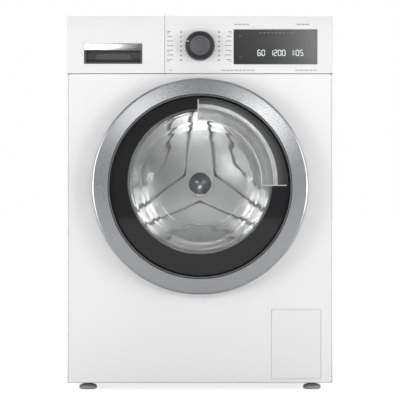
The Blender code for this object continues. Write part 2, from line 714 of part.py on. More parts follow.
def make_drawer():
    front = fascia_shell("drawer_front", -HALF + 0.0004, DRAWER_RIGHT, DRAWER_RETURN, WHITE_PLASTIC)
    x = (HANDLE_LEFT, HANDLE_LEFT + HANDLE_WIDE)
    z = (HANDLE_TOP - HANDLE_TALL, HANDLE_TOP)
    cut(front, deep_box("handle_hole", (x[0] - TOUCH, x[1] + TOUCH), (-0.02, 0.004),
                        (z[0] - TOUCH, z[1] + TOUCH)))

    cup = deep_box("drawer_handle", x, (-FASCIA_PROUD - 0.0006, HANDLE_DEPTH - FASCIA_PROUD), z, DARK_PLASTIC)
    strip = z[1] - HANDLE_STRIP
    scoop = extruded("handle_scoop", [
        (FRONT - 0.02, z[0] + 0.003), (FRONT - FASCIA_PROUD, z[0] + 0.003), (FRONT + 0.009, z[0] + 0.0095),
        (FRONT + HANDLE_DEPTH - FASCIA_PROUD - 0.002, z[0] + 0.0095),
        (FRONT + HANDLE_DEPTH - FASCIA_PROUD - 0.002, z[1] - 0.002),
        (FRONT + 0.002, z[1] - 0.002), (FRONT + 0.002, strip), (FRONT - 0.02, strip)],
        "X", x[0] + 0.004, x[1] - 0.004)
    cut(cup, scoop)

    x0 = -HALF + TRAY_INSET
    x1 = x0 + TRAY_WIDE
    z0, z1 = tray_heights()
    tray = deep_box("drawer_tray", (x0, x1), (0.0012, TRAY_DEPTH), (z0, z1), WHITE_PLASTIC)
    cup_back = HANDLE_DEPTH - FASCIA_PROUD
    start = cup_back + TOUCH + TRAY_WALL
    wide = (TRAY_WIDE - 4 * TRAY_WALL) / 3
    for i in range(3):
        low = x0 + TRAY_WALL + i * (wide + TRAY_WALL)
        end = TRAY_DEPTH - TRAY_WALL - (0.040 if i == 1 else 0)
        cut(tray, deep_box("compartment", (low, low + wide), (start, end), (z0 + TRAY_WALL, z1 + 0.01)))
    cut(tray, deep_box("tray_cup_space", (x[0] - TOUCH, x[1] + TOUCH), (-0.01, cup_back + TOUCH),
                       (z0 - 0.02, z[1] + TOUCH)),
        deep_box("tray_front_hollow", (x[1] + 0.003, x1 - TRAY_WALL), (0.0035, cup_back),
                 (z0 + TRAY_WALL, z1 + 0.01)))
    pivot("drawer_slide", at(x0, 0, z0), [front, cup, tray])


def tray_heights():
    z0 = HEIGHT - 0.100
    return z0, z0 + TRAY_TALL


def make_dispenser_housing():
    x0 = -HALF + TRAY_INSET
    x1 = x0 + TRAY_WIDE
    z0, z1 = tray_heights()
    gap = TRAY_CLEAR
    start = HANDLE_DEPTH - FASCIA_PROUD + 2 * TOUCH
    end = TRAY_DEPTH + gap
    housing = deep_box("dispenser_housing", (x0 - gap - WALL, x1 + gap + WALL), (start, end + WALL),
                       (z0 - gap - WALL, z1 + gap + 0.0035), GREY_PLASTIC)
    cut(housing, deep_box("drawer_space", (x0 - gap, x1 + gap), (-0.05, end), (z0 - gap, z1 + gap)))
    join(housing, rod_deep("inlet_spigot", INLET_X, INLET_Z, (end + 0.001, end + 0.008), 0.008))
    cut(housing, rod_deep("inlet_spigot_bore", INLET_X, INLET_Z, (end - 0.01, end + 0.03), 0.006),
        rod("outlet_bore", at(DISPENSER_HOSE_X, DISPENSER_HOSE_DEEP, z0 - 0.02),
            at(DISPENSER_HOSE_X, DISPENSER_HOSE_DEEP, z0),
            0.0115))
    return housing


# ---------------------------------------------------------------- water, drain, mains
def make_water_parts():
    z0 = tray_heights()[0]
    valve = deep_box("inlet_valve", both(INLET_X, 0.020), (REAR_DEEP - 0.052, REAR_DEEP - SHEET - TOUCH),
                     both(INLET_Z, 0.019), WHITE_PLASTIC)
    join(valve, rod_deep("valve_thread", INLET_X, INLET_Z, (REAR_DEEP - 0.01, REAR_DEEP + REAR_PROUD),
                         INLET_R, sides=24),
         rod_deep("valve_outlet", INLET_X, INLET_Z, (REAR_DEEP - 0.060, REAR_DEEP - 0.050), 0.008))
    cut(valve, rod_deep("valve_bore", INLET_X, INLET_Z, (REAR_DEEP - 0.004, REAR_DEEP + 0.03), 0.0095))
    start = TRAY_DEPTH + TRAY_CLEAR + 0.0080 + HOSE_GAP
    middle = smooth_route([at(INLET_X, start + 0.02, INLET_Z), at(INLET_X - 0.006, 0.36, INLET_Z - 0.012),
                           at(INLET_X, REAR_DEEP - 0.080, INLET_Z)], 4)
    tube("inlet_pipe", [at(INLET_X, start, INLET_Z), *middle, at(INLET_X, REAR_DEEP - 0.0600 - HOSE_GAP,
                                                                 INLET_Z)],
         INLET_PIPE_R, BLACK_RUBBER)
    tube("dispenser_hose", [at(DISPENSER_HOSE_X, DISPENSER_HOSE_DEEP, SPIGOT_TOP_Z + TOUCH),
                            at(DISPENSER_HOSE_X, DISPENSER_HOSE_DEEP, z0 - TRAY_CLEAR - WALL - TOUCH)],
         DISPENSER_HOSE_R, BLACK_RUBBER, 4)
    mains = deep_box("mains_inlet", both(GLAND_X, 0.021), (REAR_DEEP - 0.045, REAR_DEEP - SHEET - TOUCH),
                     both(GLAND_Z, 0.019), GREY_PLASTIC)
    join(mains, rod_deep("gland", GLAND_X, GLAND_Z, (REAR_DEEP - 0.01, REAR_DEEP + 0.010), GLAND_R))


def make_drain():
    body_end = PUMP_START + PUMP_LONG
    pump = rod_deep("drain_pump", PUMP_X, PUMP_Z, (PUMP_START, body_end), PUMP_R, GREY_PLASTIC, 32)
    port_x = PUMP_X - 0.052
    join(pump,
         deep_box("pump_leg", both(PUMP_X, 0.018), (0.050, body_end - 0.005),
                  (FOOT_RISE + BASE_WALL + TOUCH, PUMP_Z)),
         rod("pump_inlet", at(PUMP_X, SUMP_DEEP - 0.008, PUMP_Z + 0.004),
             at(port_x, SUMP_DEEP - 0.008, PUMP_Z + 0.004), 0.016),
         rod_deep("pump_outlet", PUMP_X + 0.010, PUMP_Z, (body_end - 0.01, body_end + 0.018), HOSE_WALL_R))
    cut(pump, rod_deep("filter_bore", PUMP_X, PUMP_Z, (0, 0.078), FILTER_R + RUN, sides=32))
    cap_r = FILTER_R + 0.003
    knob = turned("pump_filter", [
        (0, PUMP_START - 0.0075), (cap_r - 0.001, PUMP_START - 0.0075), (cap_r, PUMP_START - 0.0065),
        (cap_r, PUMP_START - RUN), (FILTER_R, PUMP_START - RUN), (FILTER_R, 0.030), (0.019, 0.032),
        (0.019, 0.072), (0, 0.072)],
        (PUMP_X, PUMP_Z), DARK_PLASTIC, 24)
    join(knob, deep_box("knob_bar", both(PUMP_X, 0.0035), (0.0042, PUMP_START - 0.005), both(PUMP_Z, 0.022)))
    pivot("filter_turn", at(PUMP_X, PUMP_START, PUMP_Z), [knob])
    tube("sump_hose", smooth_route([
        at(SUMP_X, SUMP_DEEP, SPOUT_END_Z - HOSE_GAP), at(SUMP_X, SUMP_DEEP, SPOUT_END_Z - 0.0295),
        at(SUMP_X + 0.012, SUMP_DEEP - 0.004, PUMP_Z + 0.024), at(port_x - 0.022, SUMP_DEEP - 0.008,
                                                                  PUMP_Z + 0.004)], 4)
        + [at(port_x - HOSE_GAP, SUMP_DEEP - 0.008, PUMP_Z + 0.004)], SUMP_R, BLACK_RUBBER, 3)
    rise_deep = REAR_DEEP - 0.034
    tube("drain_hose", smooth_route([
        at(PUMP_X + 0.010, body_end + 0.018 + HOSE_GAP, PUMP_Z), at(PUMP_X + 0.010, body_end + 0.034, PUMP_Z),
        at(PUMP_X + 0.018, body_end + 0.070, PUMP_Z - 0.006),
        at(HALF - 0.036, 0.30, PUMP_Z - 0.012), at(HALF - 0.034, rise_deep - 0.03, PUMP_Z - 0.008),
        at(OUTLET_X, rise_deep, PUMP_Z + 0.05), at(OUTLET_X, rise_deep, 0.40),
        at(OUTLET_X, rise_deep, OUTLET_Z - 0.05), at(OUTLET_X, rise_deep + 0.012, OUTLET_Z - 0.008),
        at(OUTLET_X, REAR_DEEP - 0.010, OUTLET_Z)], 4) + [at(OUTLET_X, REAR_DEEP + 0.010, OUTLET_Z)],
        HOSE_WALL_R, BLACK_RUBBER)


def make_flap():
    x = (FLAP_LEFT_X + FLAP_GAP, FLAP_LEFT_X + FLAP_WIDE - FLAP_GAP)
    z = (FLAP_BOTTOM + FLAP_GAP, FLAP_BOTTOM + FLAP_TALL - FLAP_GAP)
    flap = deep_box("service_flap", x, (0, FLAP_THICK), z, WHITE_PLASTIC)
    notch_x, notch_z = x[0] + 0.028, z[1] - 0.0135
    cut(flap, deep_box("flap_notch", both(notch_x, 0.007), (-0.01, 0.0016), both(notch_z, 0.0035)))
    pivot("flap_hinge", at(0, FLAP_THICK / 2, z[0] + FLAP_THICK / 2), [flap])


# ---------------------------------------------------------------- tub
def make_tub_rear():
    inner = TUB_INNER_R
    bore = HUB_R + TOUCH
    start, end = TUB_SPLIT, TUB_END
    tub = turned("tub_rear", [
        (TUB_R + 0.006, start), (TUB_R + 0.006, start + 0.007), (TUB_R, start + 0.009), (TUB_R, end - 0.010),
        (TUB_R - 0.010, end), (bore + 0.014, end), (bore + 0.014, end + 0.016), (bore, end + 0.016),
        (bore, end - 0.018), (bore + 0.014, end - 0.018), (bore + 0.014, end - TUB_WALL),
        (inner - 0.008, end - TUB_WALL), (inner, end - 0.012), (inner, start)], (0, DRUM_Z), TUB_PLASTIC)
    mid = TUB_R - TUB_WALL / 2
    toward = math.atan2(MOTOR_Z - DRUM_Z, MOTOR_X)
    reach = math.hypot(MOTOR_X, DRUM_Z - MOTOR_Z)
    across = (-math.sin(toward), math.cos(toward))
    far = [(reach * math.cos(toward) + s * 0.040 * across[0],
            DRUM_Z + reach * math.sin(toward) + s * 0.040 * across[1])
           for s in (-1, 1)]
    saddle = [*arc((0, DRUM_Z), mid, toward + 0.22, toward - 0.22, 9), *far]
    for deep in (MOTOR_END - 0.110, MOTOR_END - 0.045):
        join(tub, extruded("motor_saddle", saddle, "Y", FRONT + deep, FRONT + deep + 0.012))
    cut(tub, rod_deep("motor_seat", MOTOR_X, MOTOR_Z, both(MOTOR_END - 0.065, 0.11), MOTOR_R + TOUCH,
                      sides=32))
    for side in (-1, 1):
        root = math.sqrt(inner ** 2 - (LUG_RISE + LUG_THICK / 2) ** 2) + 0.0005
        lug = (side * root, side * (SPRING_X + 0.010))
        join(tub, deep_box("spring_lug", sorted(lug), both(HANG_DEEP, 0.012),
                           both(DRUM_Z + LUG_RISE, LUG_THICK / 2)))
        x, z = side * DAMPER_HEAD_X, DRUM_Z - DAMPER_HEAD_DROP
        for row in (-1, 1):
            ear_deep = FRONT + DAMPER_DEEP + row * (EYE_WIDE / 2 + TOUCH + EAR_THICK / 2)
            root = [(x - 0.022, DRUM_Z - math.sqrt(mid ** 2 - (abs(x) - side * 0.022) ** 2)),
                    (x + 0.022, DRUM_Z - math.sqrt(mid ** 2 - (abs(x) + side * 0.022) ** 2))]
            join(tub, extruded("damper_ear", [root[0], *arc((x, z), 0.009, math.pi, 2 * math.pi, 7), root[1]],
                               "Y", ear_deep - EAR_THICK / 2, ear_deep + EAR_THICK / 2))
        cut(tub, rod_deep("damper_head_hole", x, z, both(DAMPER_DEEP, 0.03), DAMPER_PIN_R + TOUCH),
            rod_deep("heater_hole", side * HEATER_X, HEATER_Z, both(end, 0.02), HEATER_WIRE + TOUCH,
                     sides=12))
    return tub


def make_tub_front():
    inner = TUB_INNER_R
    start, end = TUB_START, TUB_SPLIT - TOUCH
    collar = TUB_COLLAR_R
    tub = turned("tub_front", [
        (TUB_R + 0.006, end), (inner, end), (inner, start + 0.012), (inner - 0.008, start + TUB_WALL),
        (collar, start + TUB_WALL), (collar, start - 0.012), (collar + TUB_WALL, start - 0.012),
        (collar + TUB_WALL, start),
        (TUB_R - 0.010, start), (TUB_R, start + 0.010), (TUB_R, end - 0.009), (TUB_R + 0.006, end - 0.007)],
        (0, DRUM_Z), TUB_PLASTIC)
    sump = (SUMP_X, SUMP_DEEP)
    wet = (DISPENSER_HOSE_X, DISPENSER_HOSE_DEEP)
    join(tub, rod("sump_spout", at(*sump, SPOUT_ROOT_Z), at(*sump, SPOUT_END_Z), SUMP_R),
         rod("dispenser_spigot", at(*wet, SPIGOT_ROOT_Z), at(*wet, SPIGOT_TOP_Z), DISPENSER_HOSE_R))
    return cut(tub, rod("sump_bore", at(*sump, SPOUT_ROOT_Z + 0.026), at(*sump, SPOUT_END_Z - 0.0145), SUMP_BORE_R),
               rod("dispenser_bore", at(*wet, SPIGOT_ROOT_Z - 0.0285), at(*wet, SPIGOT_TOP_Z + 0.016),
                   SPIGOT_BORE_R),
               rod_deep("tub_clear_inside", 0, DRUM_Z, (start + 0.013, end - 0.001), inner - 0.0002,
                        sides=ROUND))


def make_weights():
    low, high = math.radians(-38), math.radians(218)
    ring = [*arc((0, DRUM_Z), TUB_R - 0.010, low, high, 36), *arc((0, DRUM_Z), TUB_COLLAR_R + 0.017, high, low, 32)]
    extruded("counterweight_front", ring, "Y", FRONT + TUB_START - 0.030, FRONT + TUB_START - TOUCH, CONCRETE)
    rest = TUB_R + TOUCH
    left, right = WEIGHT_IN_LEFT - TUB_R, TUB_R - WEIGHT_IN_RIGHT
    top = DRUM_Z + TUB_R + WEIGHT_TALL
    side = 2 * math.pi / ROUND

    def seat(x):
        # a point on the flat of the tub that lies under x
        angle = (math.floor(math.acos(x / rest) / side) + 0.5) * side
        return x, DRUM_Z + (rest * math.cos(side / 2) - x * math.cos(angle)) / math.sin(angle)

    first, last = math.ceil(math.acos(right / rest) / side), math.floor(math.acos(left / rest) / side)
    corners = [(rest * math.cos(side * i), DRUM_Z + rest * math.sin(side * i)) for i in range(first, last + 1)]
    block = [seat(right), *corners, seat(left), (left, top - 0.006), (left + 0.006, top),
             (right - 0.006, top), (right, top - 0.006)]
    extruded("counterweight_top", block, "Y", FRONT + TUB_SPLIT + 0.018, FRONT + TUB_SPLIT + 0.190, CONCRETE)


def make_gasket():
    mouth, collar, seal = OPENING_R, TUB_COLLAR_R, BOWL_R
    turned("door_gasket", [
        (mouth - 0.0020, 0.0118), (mouth - 0.0020, 0.0185), (seal + 0.0030, 0.0245), (seal + 0.0005, 0.0335),
        (collar - 0.0060, 0.0395), (collar - 0.0045, 0.0440), (collar - 0.0150, 0.0490),
        (collar - 0.0022, TUB_START - 0.0105), (collar - 0.0022, TUB_START - 0.0020)], (0, DRUM_Z),
        RUBBER, 32, thickness=0.0022)


def make_suspension():
    low = DRUM_Z + LUG_RISE + LUG_THICK / 2 + SPRING_WIRE + TOUCH
    high = UNDER_TOP - TOUCH - BRACE_TALL - SPRING_WIRE - TOUCH
    for side, hand in ((-1, "left"), (1, "right")):
        x = side * SPRING_X
        start, end = low + 0.018, high - 0.018
        count = SPRING_TURNS * 8
        coil = [at(x + SPRING_R * math.cos(2 * math.pi * i / 8),
                   HANG_DEEP + SPRING_R * math.sin(2 * math.pi * i / 8),
                   start + (end - start) * i / count) for i in range(count + 1)]
        tube(f"spring_{hand}", [at(x, HANG_DEEP, low - SPRING_WIRE), at(x, HANG_DEEP, start - 0.004), *coil,
                                at(x, HANG_DEEP, end + 0.004), at(x, HANG_DEEP, high + SPRING_WIRE)],
             SPRING_WIRE, STEEL, 0)
        foot = Vector(at(side * DAMPER_FOOT_X, DAMPER_DEEP, DAMPER_FOOT_Z))
        head = Vector(at(side * DAMPER_HEAD_X, DAMPER_DEEP, DRUM_Z - DAMPER_HEAD_DROP))
        line = (head - foot).normalized()
        across = Vector((0, EYE_WIDE / 2, 0))
        pin = Vector((0, EYE_WIDE / 2 + TOUCH + EAR_THICK + 0.001, 0))
        cylinder = rod(f"damper_cylinder_{hand}", foot + line * 0.018, foot + line * 0.118, DAMPER_R,
                       DARK_PLASTIC, 14)
        join(cylinder, rod("foot_neck", foot, foot + line * 0.025, 0.008),
             rod("foot_eye", foot - across, foot + across, DAMPER_EYE),
             rod("foot_pin", foot - pin, foot + pin, DAMPER_PIN_R))
        cut(cylinder, rod("damper_bore", foot + line * 0.040, foot + line * 0.14, DAMPER_ROD_R + 0.0007))
        shaft = rod(f"damper_rod_{hand}", foot + line * 0.055, head, DAMPER_ROD_R, STEEL)
        join(shaft, rod("head_eye", head - across, head + across, DAMPER_EYE - 0.001),
             rod("head_pin", head - pin, head + pin, DAMPER_PIN_R))
        pivot(f"damper_foot_{hand}_swing", foot, [cylinder])
        pivot(f"damper_head_{hand}_swing", head, [shaft])


def make_tub_fittings():
    cartridge = turned("bearing_cartridge", [
        (SHAFT_R + SHAFT_CLEAR, TUB_END - 0.024), (SHAFT_R + SHAFT_CLEAR, HUB_END), (HUB_R, HUB_END),
        (HUB_R, TUB_END - 0.024)],
        (0, DRUM_Z), CAST, 32)
    legs = [at(-HEATER_X, TUB_END + 0.014, HEATER_Z), at(-HEATER_X, TUB_SPLIT + 0.070, HEATER_Z),
            *[at(-HEATER_X * math.cos(t), TUB_SPLIT + 0.070 - HEATER_X * math.sin(t), HEATER_Z)
              for t in [math.pi * i / 8 for i in range(1, 8)]],
            at(HEATER_X, TUB_SPLIT + 0.070, HEATER_Z), at(HEATER_X, TUB_END + 0.014, HEATER_Z)]
    heater = as_mesh(tube("heater", legs, HEATER_WIRE, STAINLESS, 1))
    join(heater, deep_box("heater_plate", both(0, 0.040), (TUB_END + TOUCH, TUB_END + 0.004),
                          both(HEATER_Z, 0.0075)))

    motor = rod_deep("motor_body", MOTOR_X, MOTOR_Z, (MOTOR_END - MOTOR_LONG, MOTOR_END), MOTOR_R, COPPER, 32)
    cut(motor, rod_deep("motor_bore", MOTOR_X, MOTOR_Z, (MOTOR_END - 0.020, MOTOR_END + 0.01), 0.0052,
                        sides=12))
    wheel = rod_deep("motor_pulley", MOTOR_X, MOTOR_Z, (MOTOR_END + 0.003, PULLEY_START + PULLEY_WIDE),
                     PINION_R, STEEL, 20)
    join(wheel, rod_deep("motor_shaft", MOTOR_X, MOTOR_Z, (MOTOR_END - 0.018, MOTOR_END + 0.005), 0.0046,
                         sides=12))
    pivot("motor_spin", at(MOTOR_X, PULLEY_START, MOTOR_Z), [wheel])
    make_belt()
    return cartridge


def make_belt():
    reach = math.hypot(MOTOR_X, DRUM_Z - MOTOR_Z)
    toward = math.atan2(MOTOR_Z - DRUM_Z, MOTOR_X)

    def loop(extra):
        big, small = PULLEY_R + extra, PINION_R + extra
        lean = math.acos((big - small) / reach)
        around = arc((0, DRUM_Z), big, toward + lean, toward + 2 * math.pi - lean, 40)
        return around + arc((MOTOR_X, MOTOR_Z), small, toward - lean, toward + lean, 8)

    extruded("drive_belt", [loop(TOUCH + BELT_THICK), loop(TOUCH + 0.0002)], "Y",
             FRONT + BELT_START, FRONT + BELT_START + BELT_WIDE, BLACK_RUBBER)


# ---------------------------------------------------------------- drum
def make_drum():
    start, end, r, t = DRUM_START, DRUM_END, DRUM_R, DRUM_SHEET
    basket = turned("drum_basket", [
        (0, end), (r - 0.008, end), (r, end - 0.008), (r, start + 0.008), (r - 0.008, start),
        (MOUTH_R + 0.005, start),
        (MOUTH_R, start + 0.003), (MOUTH_R, start + 0.010), (MOUTH_R + t, start + 0.010),
        (MOUTH_R + t, start + 0.004),
        (MOUTH_R + 0.006, start + t), (r - 0.009, start + t), (r - t, start + 0.009), (r - t, end - 0.009),
        (r - 0.009, end - t), (0, end - t)], (0, DRUM_Z), STAINLESS)
    spider = rod_deep("drum_spider", 0, DRUM_Z, (SPIDER_START, SPIDER_START + SPIDER_THICK), 0.032, CAST, 24)
    join(spider, rod_deep("drum_shaft", 0, DRUM_Z, (SPIDER_START + 0.010,
                                                    PULLEY_START + PULLEY_WIDE + 0.004), SHAFT_R,
                                                    sides=24))
    moving = [basket, spider]
    for i in range(3):
        turn = Matrix.Rotation(math.radians(-90 + 120 * i), 4, "Y")
        arm = deep_box("spider_arm", (0.020, DRUM_R - 0.012), (SPIDER_START, SPIDER_START + 0.014),
                       both(0, 0.012))
        pivot_matrix = Matrix.Translation((0, 0, DRUM_Z)) @ turn
        arm.matrix_world = pivot_matrix @ arm.matrix_basis
        join(spider, arm)
        half = math.radians(90 - 30 + 120 * i)
        moving.append(make_lifter(i + 1, half))
    hub_r = 0.030
    rim = PULLEY_R - 0.006
    pulley = turned("drum_pulley", [
        (SHAFT_R + SHAFT_CLEAR, PULLEY_START), (hub_r, PULLEY_START), (hub_r, PULLEY_START + 0.004),
        (rim, PULLEY_START + 0.004),
        (rim, PULLEY_START), (PULLEY_R, PULLEY_START), (PULLEY_R, PULLEY_START + PULLEY_WIDE),
        (rim, PULLEY_START + PULLEY_WIDE),
        (rim, PULLEY_START + 0.010), (hub_r, PULLEY_START + 0.010), (hub_r, PULLEY_START + PULLEY_WIDE),
        (SHAFT_R + SHAFT_CLEAR, PULLEY_START + PULLEY_WIDE)], (0, DRUM_Z), CAST, 32)
    for i in range(5):
        angle = math.radians(83 + 72 * i)
        middle = (rim + hub_r) / 2
        cut(pulley, rod_deep("pulley_hole", middle * math.cos(angle), DRUM_Z + middle * math.sin(angle),
                             both(PULLEY_START + 0.007, 0.02), 0.034, sides=12))
    moving.append(pulley)
    pivot("drum_spin", at(0, DRUM_START, DRUM_Z), moving)


def make_lifter(number, angle):
    seat = (DRUM_R - DRUM_SHEET) * math.cos(math.pi / ROUND) - TOUCH
    half = math.asin(LIFTER_WIDE / 2 / seat)
    top = DRUM_R - LIFTER_TALL
    foot = arc((0, 0), seat, angle - half, angle + half, 5)
    crown = arc((0, 0), top, angle + 0.055, angle - 0.055, 3)
    outline = [(x, DRUM_Z + z) for x, z in [*foot, *crown]]
    start = DRUM_START + (DRUM_LONG - LIFTER_LONG) / 2
    return extruded(f"lifter_{number}", outline, "Y", FRONT + start, FRONT + start + LIFTER_LONG,
                    GREY_PLASTIC)


# ---------------------------------------------------------------- door
def make_door():
    back, w = DOOR_BACK, WALL
    ring = turned("door_ring", [
        (DOOR_R - 0.0015, back), (DOOR_R, back - 0.0015), (DOOR_R, -0.0335), (DOOR_R - 0.0013, -0.0360),
        (DOOR_R - 0.0040, -0.0376), (RING_INNER_R, -DOOR_PROUD),
        (RING_INNER_R - 0.0012, -DOOR_PROUD + 0.0004),
        (BEVEL_R, PANE_FRONT - 0.0003), (BEVEL_R, -0.0268), (BEVEL_R + w, -0.0268),
        (BEVEL_R + w, PANE_FRONT + 0.0006),
        (RING_INNER_R + 0.0006, -DOOR_PROUD + w + 0.0006), (DOOR_R - 0.0048, -0.0376 + w + 0.0002),
        (DOOR_R - w, -0.0325),
        (DOOR_R - w, back)], (0, DOOR_Z), BRIGHT, 48)
    cut(ring, deep_box("hinge_notch", (-DOOR_R - 0.01, -DOOR_R + 0.02), (-0.0300, 0.01),
                       both(DOOR_Z, 0.0270)))

    pane = turned("door_pane", [(0, PANE_FRONT), (BEVEL_R - TOUCH - 0.0006, PANE_FRONT),
                                (BEVEL_R - TOUCH, PANE_FRONT + 0.0006),
                                (BEVEL_R - TOUCH, PANE_FRONT + PANE_THICK), (0, PANE_FRONT + PANE_THICK)],
                                (0, DOOR_Z), SMOKED, 48)
    edge_x, edge_z = -0.003, DOOR_Z + 0.0032
    outer_r = DOOR_R + 0.019
    high = math.acos(edge_x / GRIP_R)
    low = math.asin((edge_z - DRUM_Z) / GRIP_R)
    grip = [*arc((0, DRUM_Z), GRIP_R, high, low, 20), (outer_r, edge_z), (outer_r, DOOR_Z + outer_r),
            (edge_x, DOOR_Z + outer_r)]
    cut(pane, extruded("grip_cut", grip, "Y", FRONT - 0.06, FRONT))

    wall = 0.0022
    r_out, r_in = BEVEL_R - 0.0006, BOWL_FLANGE + TOUCH
    x0, z0 = edge_x - wall, edge_z - wall
    trough = [*arc((0, DRUM_Z), r_in, math.acos(x0 / r_in), math.asin((z0 - DRUM_Z) / r_in), 18),
              *arc((0, DOOR_Z), r_out, math.asin((z0 - DOOR_Z) / r_out), math.acos(x0 / r_out), 20)]
    cup = extruded("door_grip_trough", trough, "Y", FRONT - 0.0265, FRONT + GRIP_FLOOR + 0.0025, DARK_PLASTIC)
    r_in, r_out = BOWL_FLANGE - 0.01, r_out - wall
    x0, z0 = edge_x + 0.0001, edge_z + 0.0001
    pocket = [*arc((0, DRUM_Z), r_in, math.acos(x0 / r_in), math.asin((z0 - DRUM_Z) / r_in), 18),
              *arc((0, DOOR_Z), r_out, math.asin((z0 - DOOR_Z) / r_out), math.acos(x0 / r_out), 20)]
    cut(cup, extruded("grip_pocket", pocket, "Y", FRONT - 0.05, FRONT + GRIP_FLOOR))

    bowl = turned("door_glass_bowl", [
        (BOWL_FLANGE, -0.0130), (BOWL_FLANGE, -0.0091), (0.1662, -0.0091), (0.1650, 0.0020), (0.1570, 0.0420),
        (0.1400, 0.0900), (0.1290, 0.1080), (0.1080, 0.1190), (0, BOWL_LONG), (0, BOWL_LONG - GLASS),
        (0.1060, 0.1152), (0.1262, 0.1048), (0.1362, 0.0885), (0.1531, 0.0410), (0.1610, 0.0015),
        (BOWL_R, -0.0130)],
        (0, DRUM_Z), GLASS_CLEAR, 40)

    frame = turned("door_inner_frame", [(0.120, FRAME_FRONT), (FRAME_R, FRAME_FRONT),
                                        (FRAME_R, FRAME_BACK - 0.001),
                                        (FRAME_R - 0.001, FRAME_BACK), (0.120, FRAME_BACK)], (0, DOOR_Z),
                                        WHITE_PLASTIC)
    cut(frame, rod_deep("bowl_hole", 0, DRUM_Z, (-0.03, 0.03), 0.1676, sides=ROUND),
        deep_box("frame_hinge_notch", (-DOOR_R - 0.03, ARM_END_X - 0.0075), (-0.03, 0.03), both(DOOR_Z, 0.0270)))
    join(frame, *[deep_box("hook_ear", both(HOOK_X, 0.0060), (-0.0205, FRAME_FRONT + 0.001),
                           both(HOOK_Z + s * 0.0107, 0.0017))
                  for s in (-1, 1)])
    cut(frame, deep_box("frame_hook_slot", both(HOOK_X, 0.0070), (-0.0088 - 0.02, 0.03),
                        both(HOOK_Z, 0.0088)))

    arm = rod("door_hinge_arm", at(HINGE_X, HINGE_DEEP, DOOR_Z - ARM_TALL / 2),
              at(HINGE_X, HINGE_DEEP, DOOR_Z + ARM_TALL / 2),
              KNUCKLE_R, STEEL)
    join(arm,
         deep_box("arm_plate", (HINGE_X, ARM_END_X), both(HINGE_DEEP, ARM_THICK / 2),
                  both(DOOR_Z, ARM_TALL / 2)),
         deep_box("arm_foot", (ARM_END_X - 0.0060, ARM_END_X), (HINGE_DEEP - ARM_THICK / 2, FRAME_FRONT - TOUCH),
                  both(DOOR_Z, 0.020)),
         rod("hinge_pin", at(HINGE_X, HINGE_DEEP, DOOR_Z - KNUCKLE_HALF - 0.001),
             at(HINGE_X, HINGE_DEEP, DOOR_Z + KNUCKLE_HALF + 0.001),
             PIN_R, sides=12))

    hook = extruded("door_hook", [
        (HOOK_X - 0.0025, FRONT - 0.0190), (HOOK_X + 0.0025, FRONT - 0.0190),
        (HOOK_X + 0.0025, FRONT + 0.0110),
        (HOOK_X + 0.0005, FRONT + 0.0120), (HOOK_X + 0.0005, FRONT + 0.0165),
        (HOOK_X + 0.0040, FRONT + 0.0165),
        (HOOK_X - 0.0005, FRONT + 0.0235), (HOOK_X - 0.0025, FRONT + 0.0235)], "Z",
        HOOK_Z - HOOK_TALL / 2, HOOK_Z + HOOK_TALL / 2, STEEL)
    join(hook, rod("hook_pin", at(HOOK_X, HOOK_PIVOT_DEEP, HOOK_Z - 0.0086),
                   at(HOOK_X, HOOK_PIVOT_DEEP, HOOK_Z + 0.0086), 0.0032))
    pivot("hook_pivot", at(HOOK_X, HOOK_PIVOT_DEEP, HOOK_Z), [hook])
    pivot("door_hinge", at(HINGE_X, HINGE_DEEP, DOOR_Z), [ring, pane, cup, bowl, frame, arm])
    return pane


def make_hinge_bracket():
    bracket = deep_box("door_hinge_bracket", (HINGE_X - 0.0005, ARM_END_X - 0.0095), (-0.0030, -TOUCH),
                       both(DOOR_Z, KNUCKLE_HALF + 0.0006), STEEL)
    for side in (-1, 1):
        middle = DOOR_Z + side * (ARM_TALL / 2 + 0.0005 + (KNUCKLE_HALF - ARM_TALL / 2 - 0.0005) / 2)
        half = (KNUCKLE_HALF - ARM_TALL / 2 - 0.0005) / 2
        join(bracket, deep_box("bracket_web", (HINGE_X + 0.0003, HINGE_X + 0.0100), (HINGE_DEEP, -0.0020),
                               both(middle, half - 0.0004)),
             rod("bracket_knuckle", at(HINGE_X, HINGE_DEEP, middle - half),
                 at(HINGE_X, HINGE_DEEP, middle + half), KNUCKLE_R))
    return cut(bracket, rod("pin_bore", at(HINGE_X, HINGE_DEEP, DOOR_Z - 0.05),
                            at(HINGE_X, HINGE_DEEP, DOOR_Z + 0.05),
                            PIN_R + TOUCH, sides=12))


def make_door_lock():
    lock = deep_box("door_lock", (HOOK_X - 0.0135, HOOK_X + 0.0265), (SHEET + TOUCH, 0.0330),
                    both(HOOK_Z, 0.026), DARK_PLASTIC)
    return cut(lock, deep_box("lock_slot", both(HOOK_X, 0.0078), (-0.01, 0.0300), both(HOOK_Z, 0.0105)))


make_side_panel(-1, "left_side_panel")
make_side_panel(1, "right_side_panel")
make_front_panel()
make_rear_panel()
make_base_pan()
make_worktop()
make_brace()
make_feet()
make_control_fascia()
make_window()
make_control_module()
make_dial()
make_drawer()
make_dispenser_housing()
make_water_parts()
make_drain()
make_flap()
make_tub_rear()
make_tub_front()
make_weights()
make_gasket()
make_suspension()
make_tub_fittings()
make_drum()
make_door()
make_hinge_bracket()
make_door_lock()
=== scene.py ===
import math

import bmesh
import bpy
from mathutils import Matrix, Vector


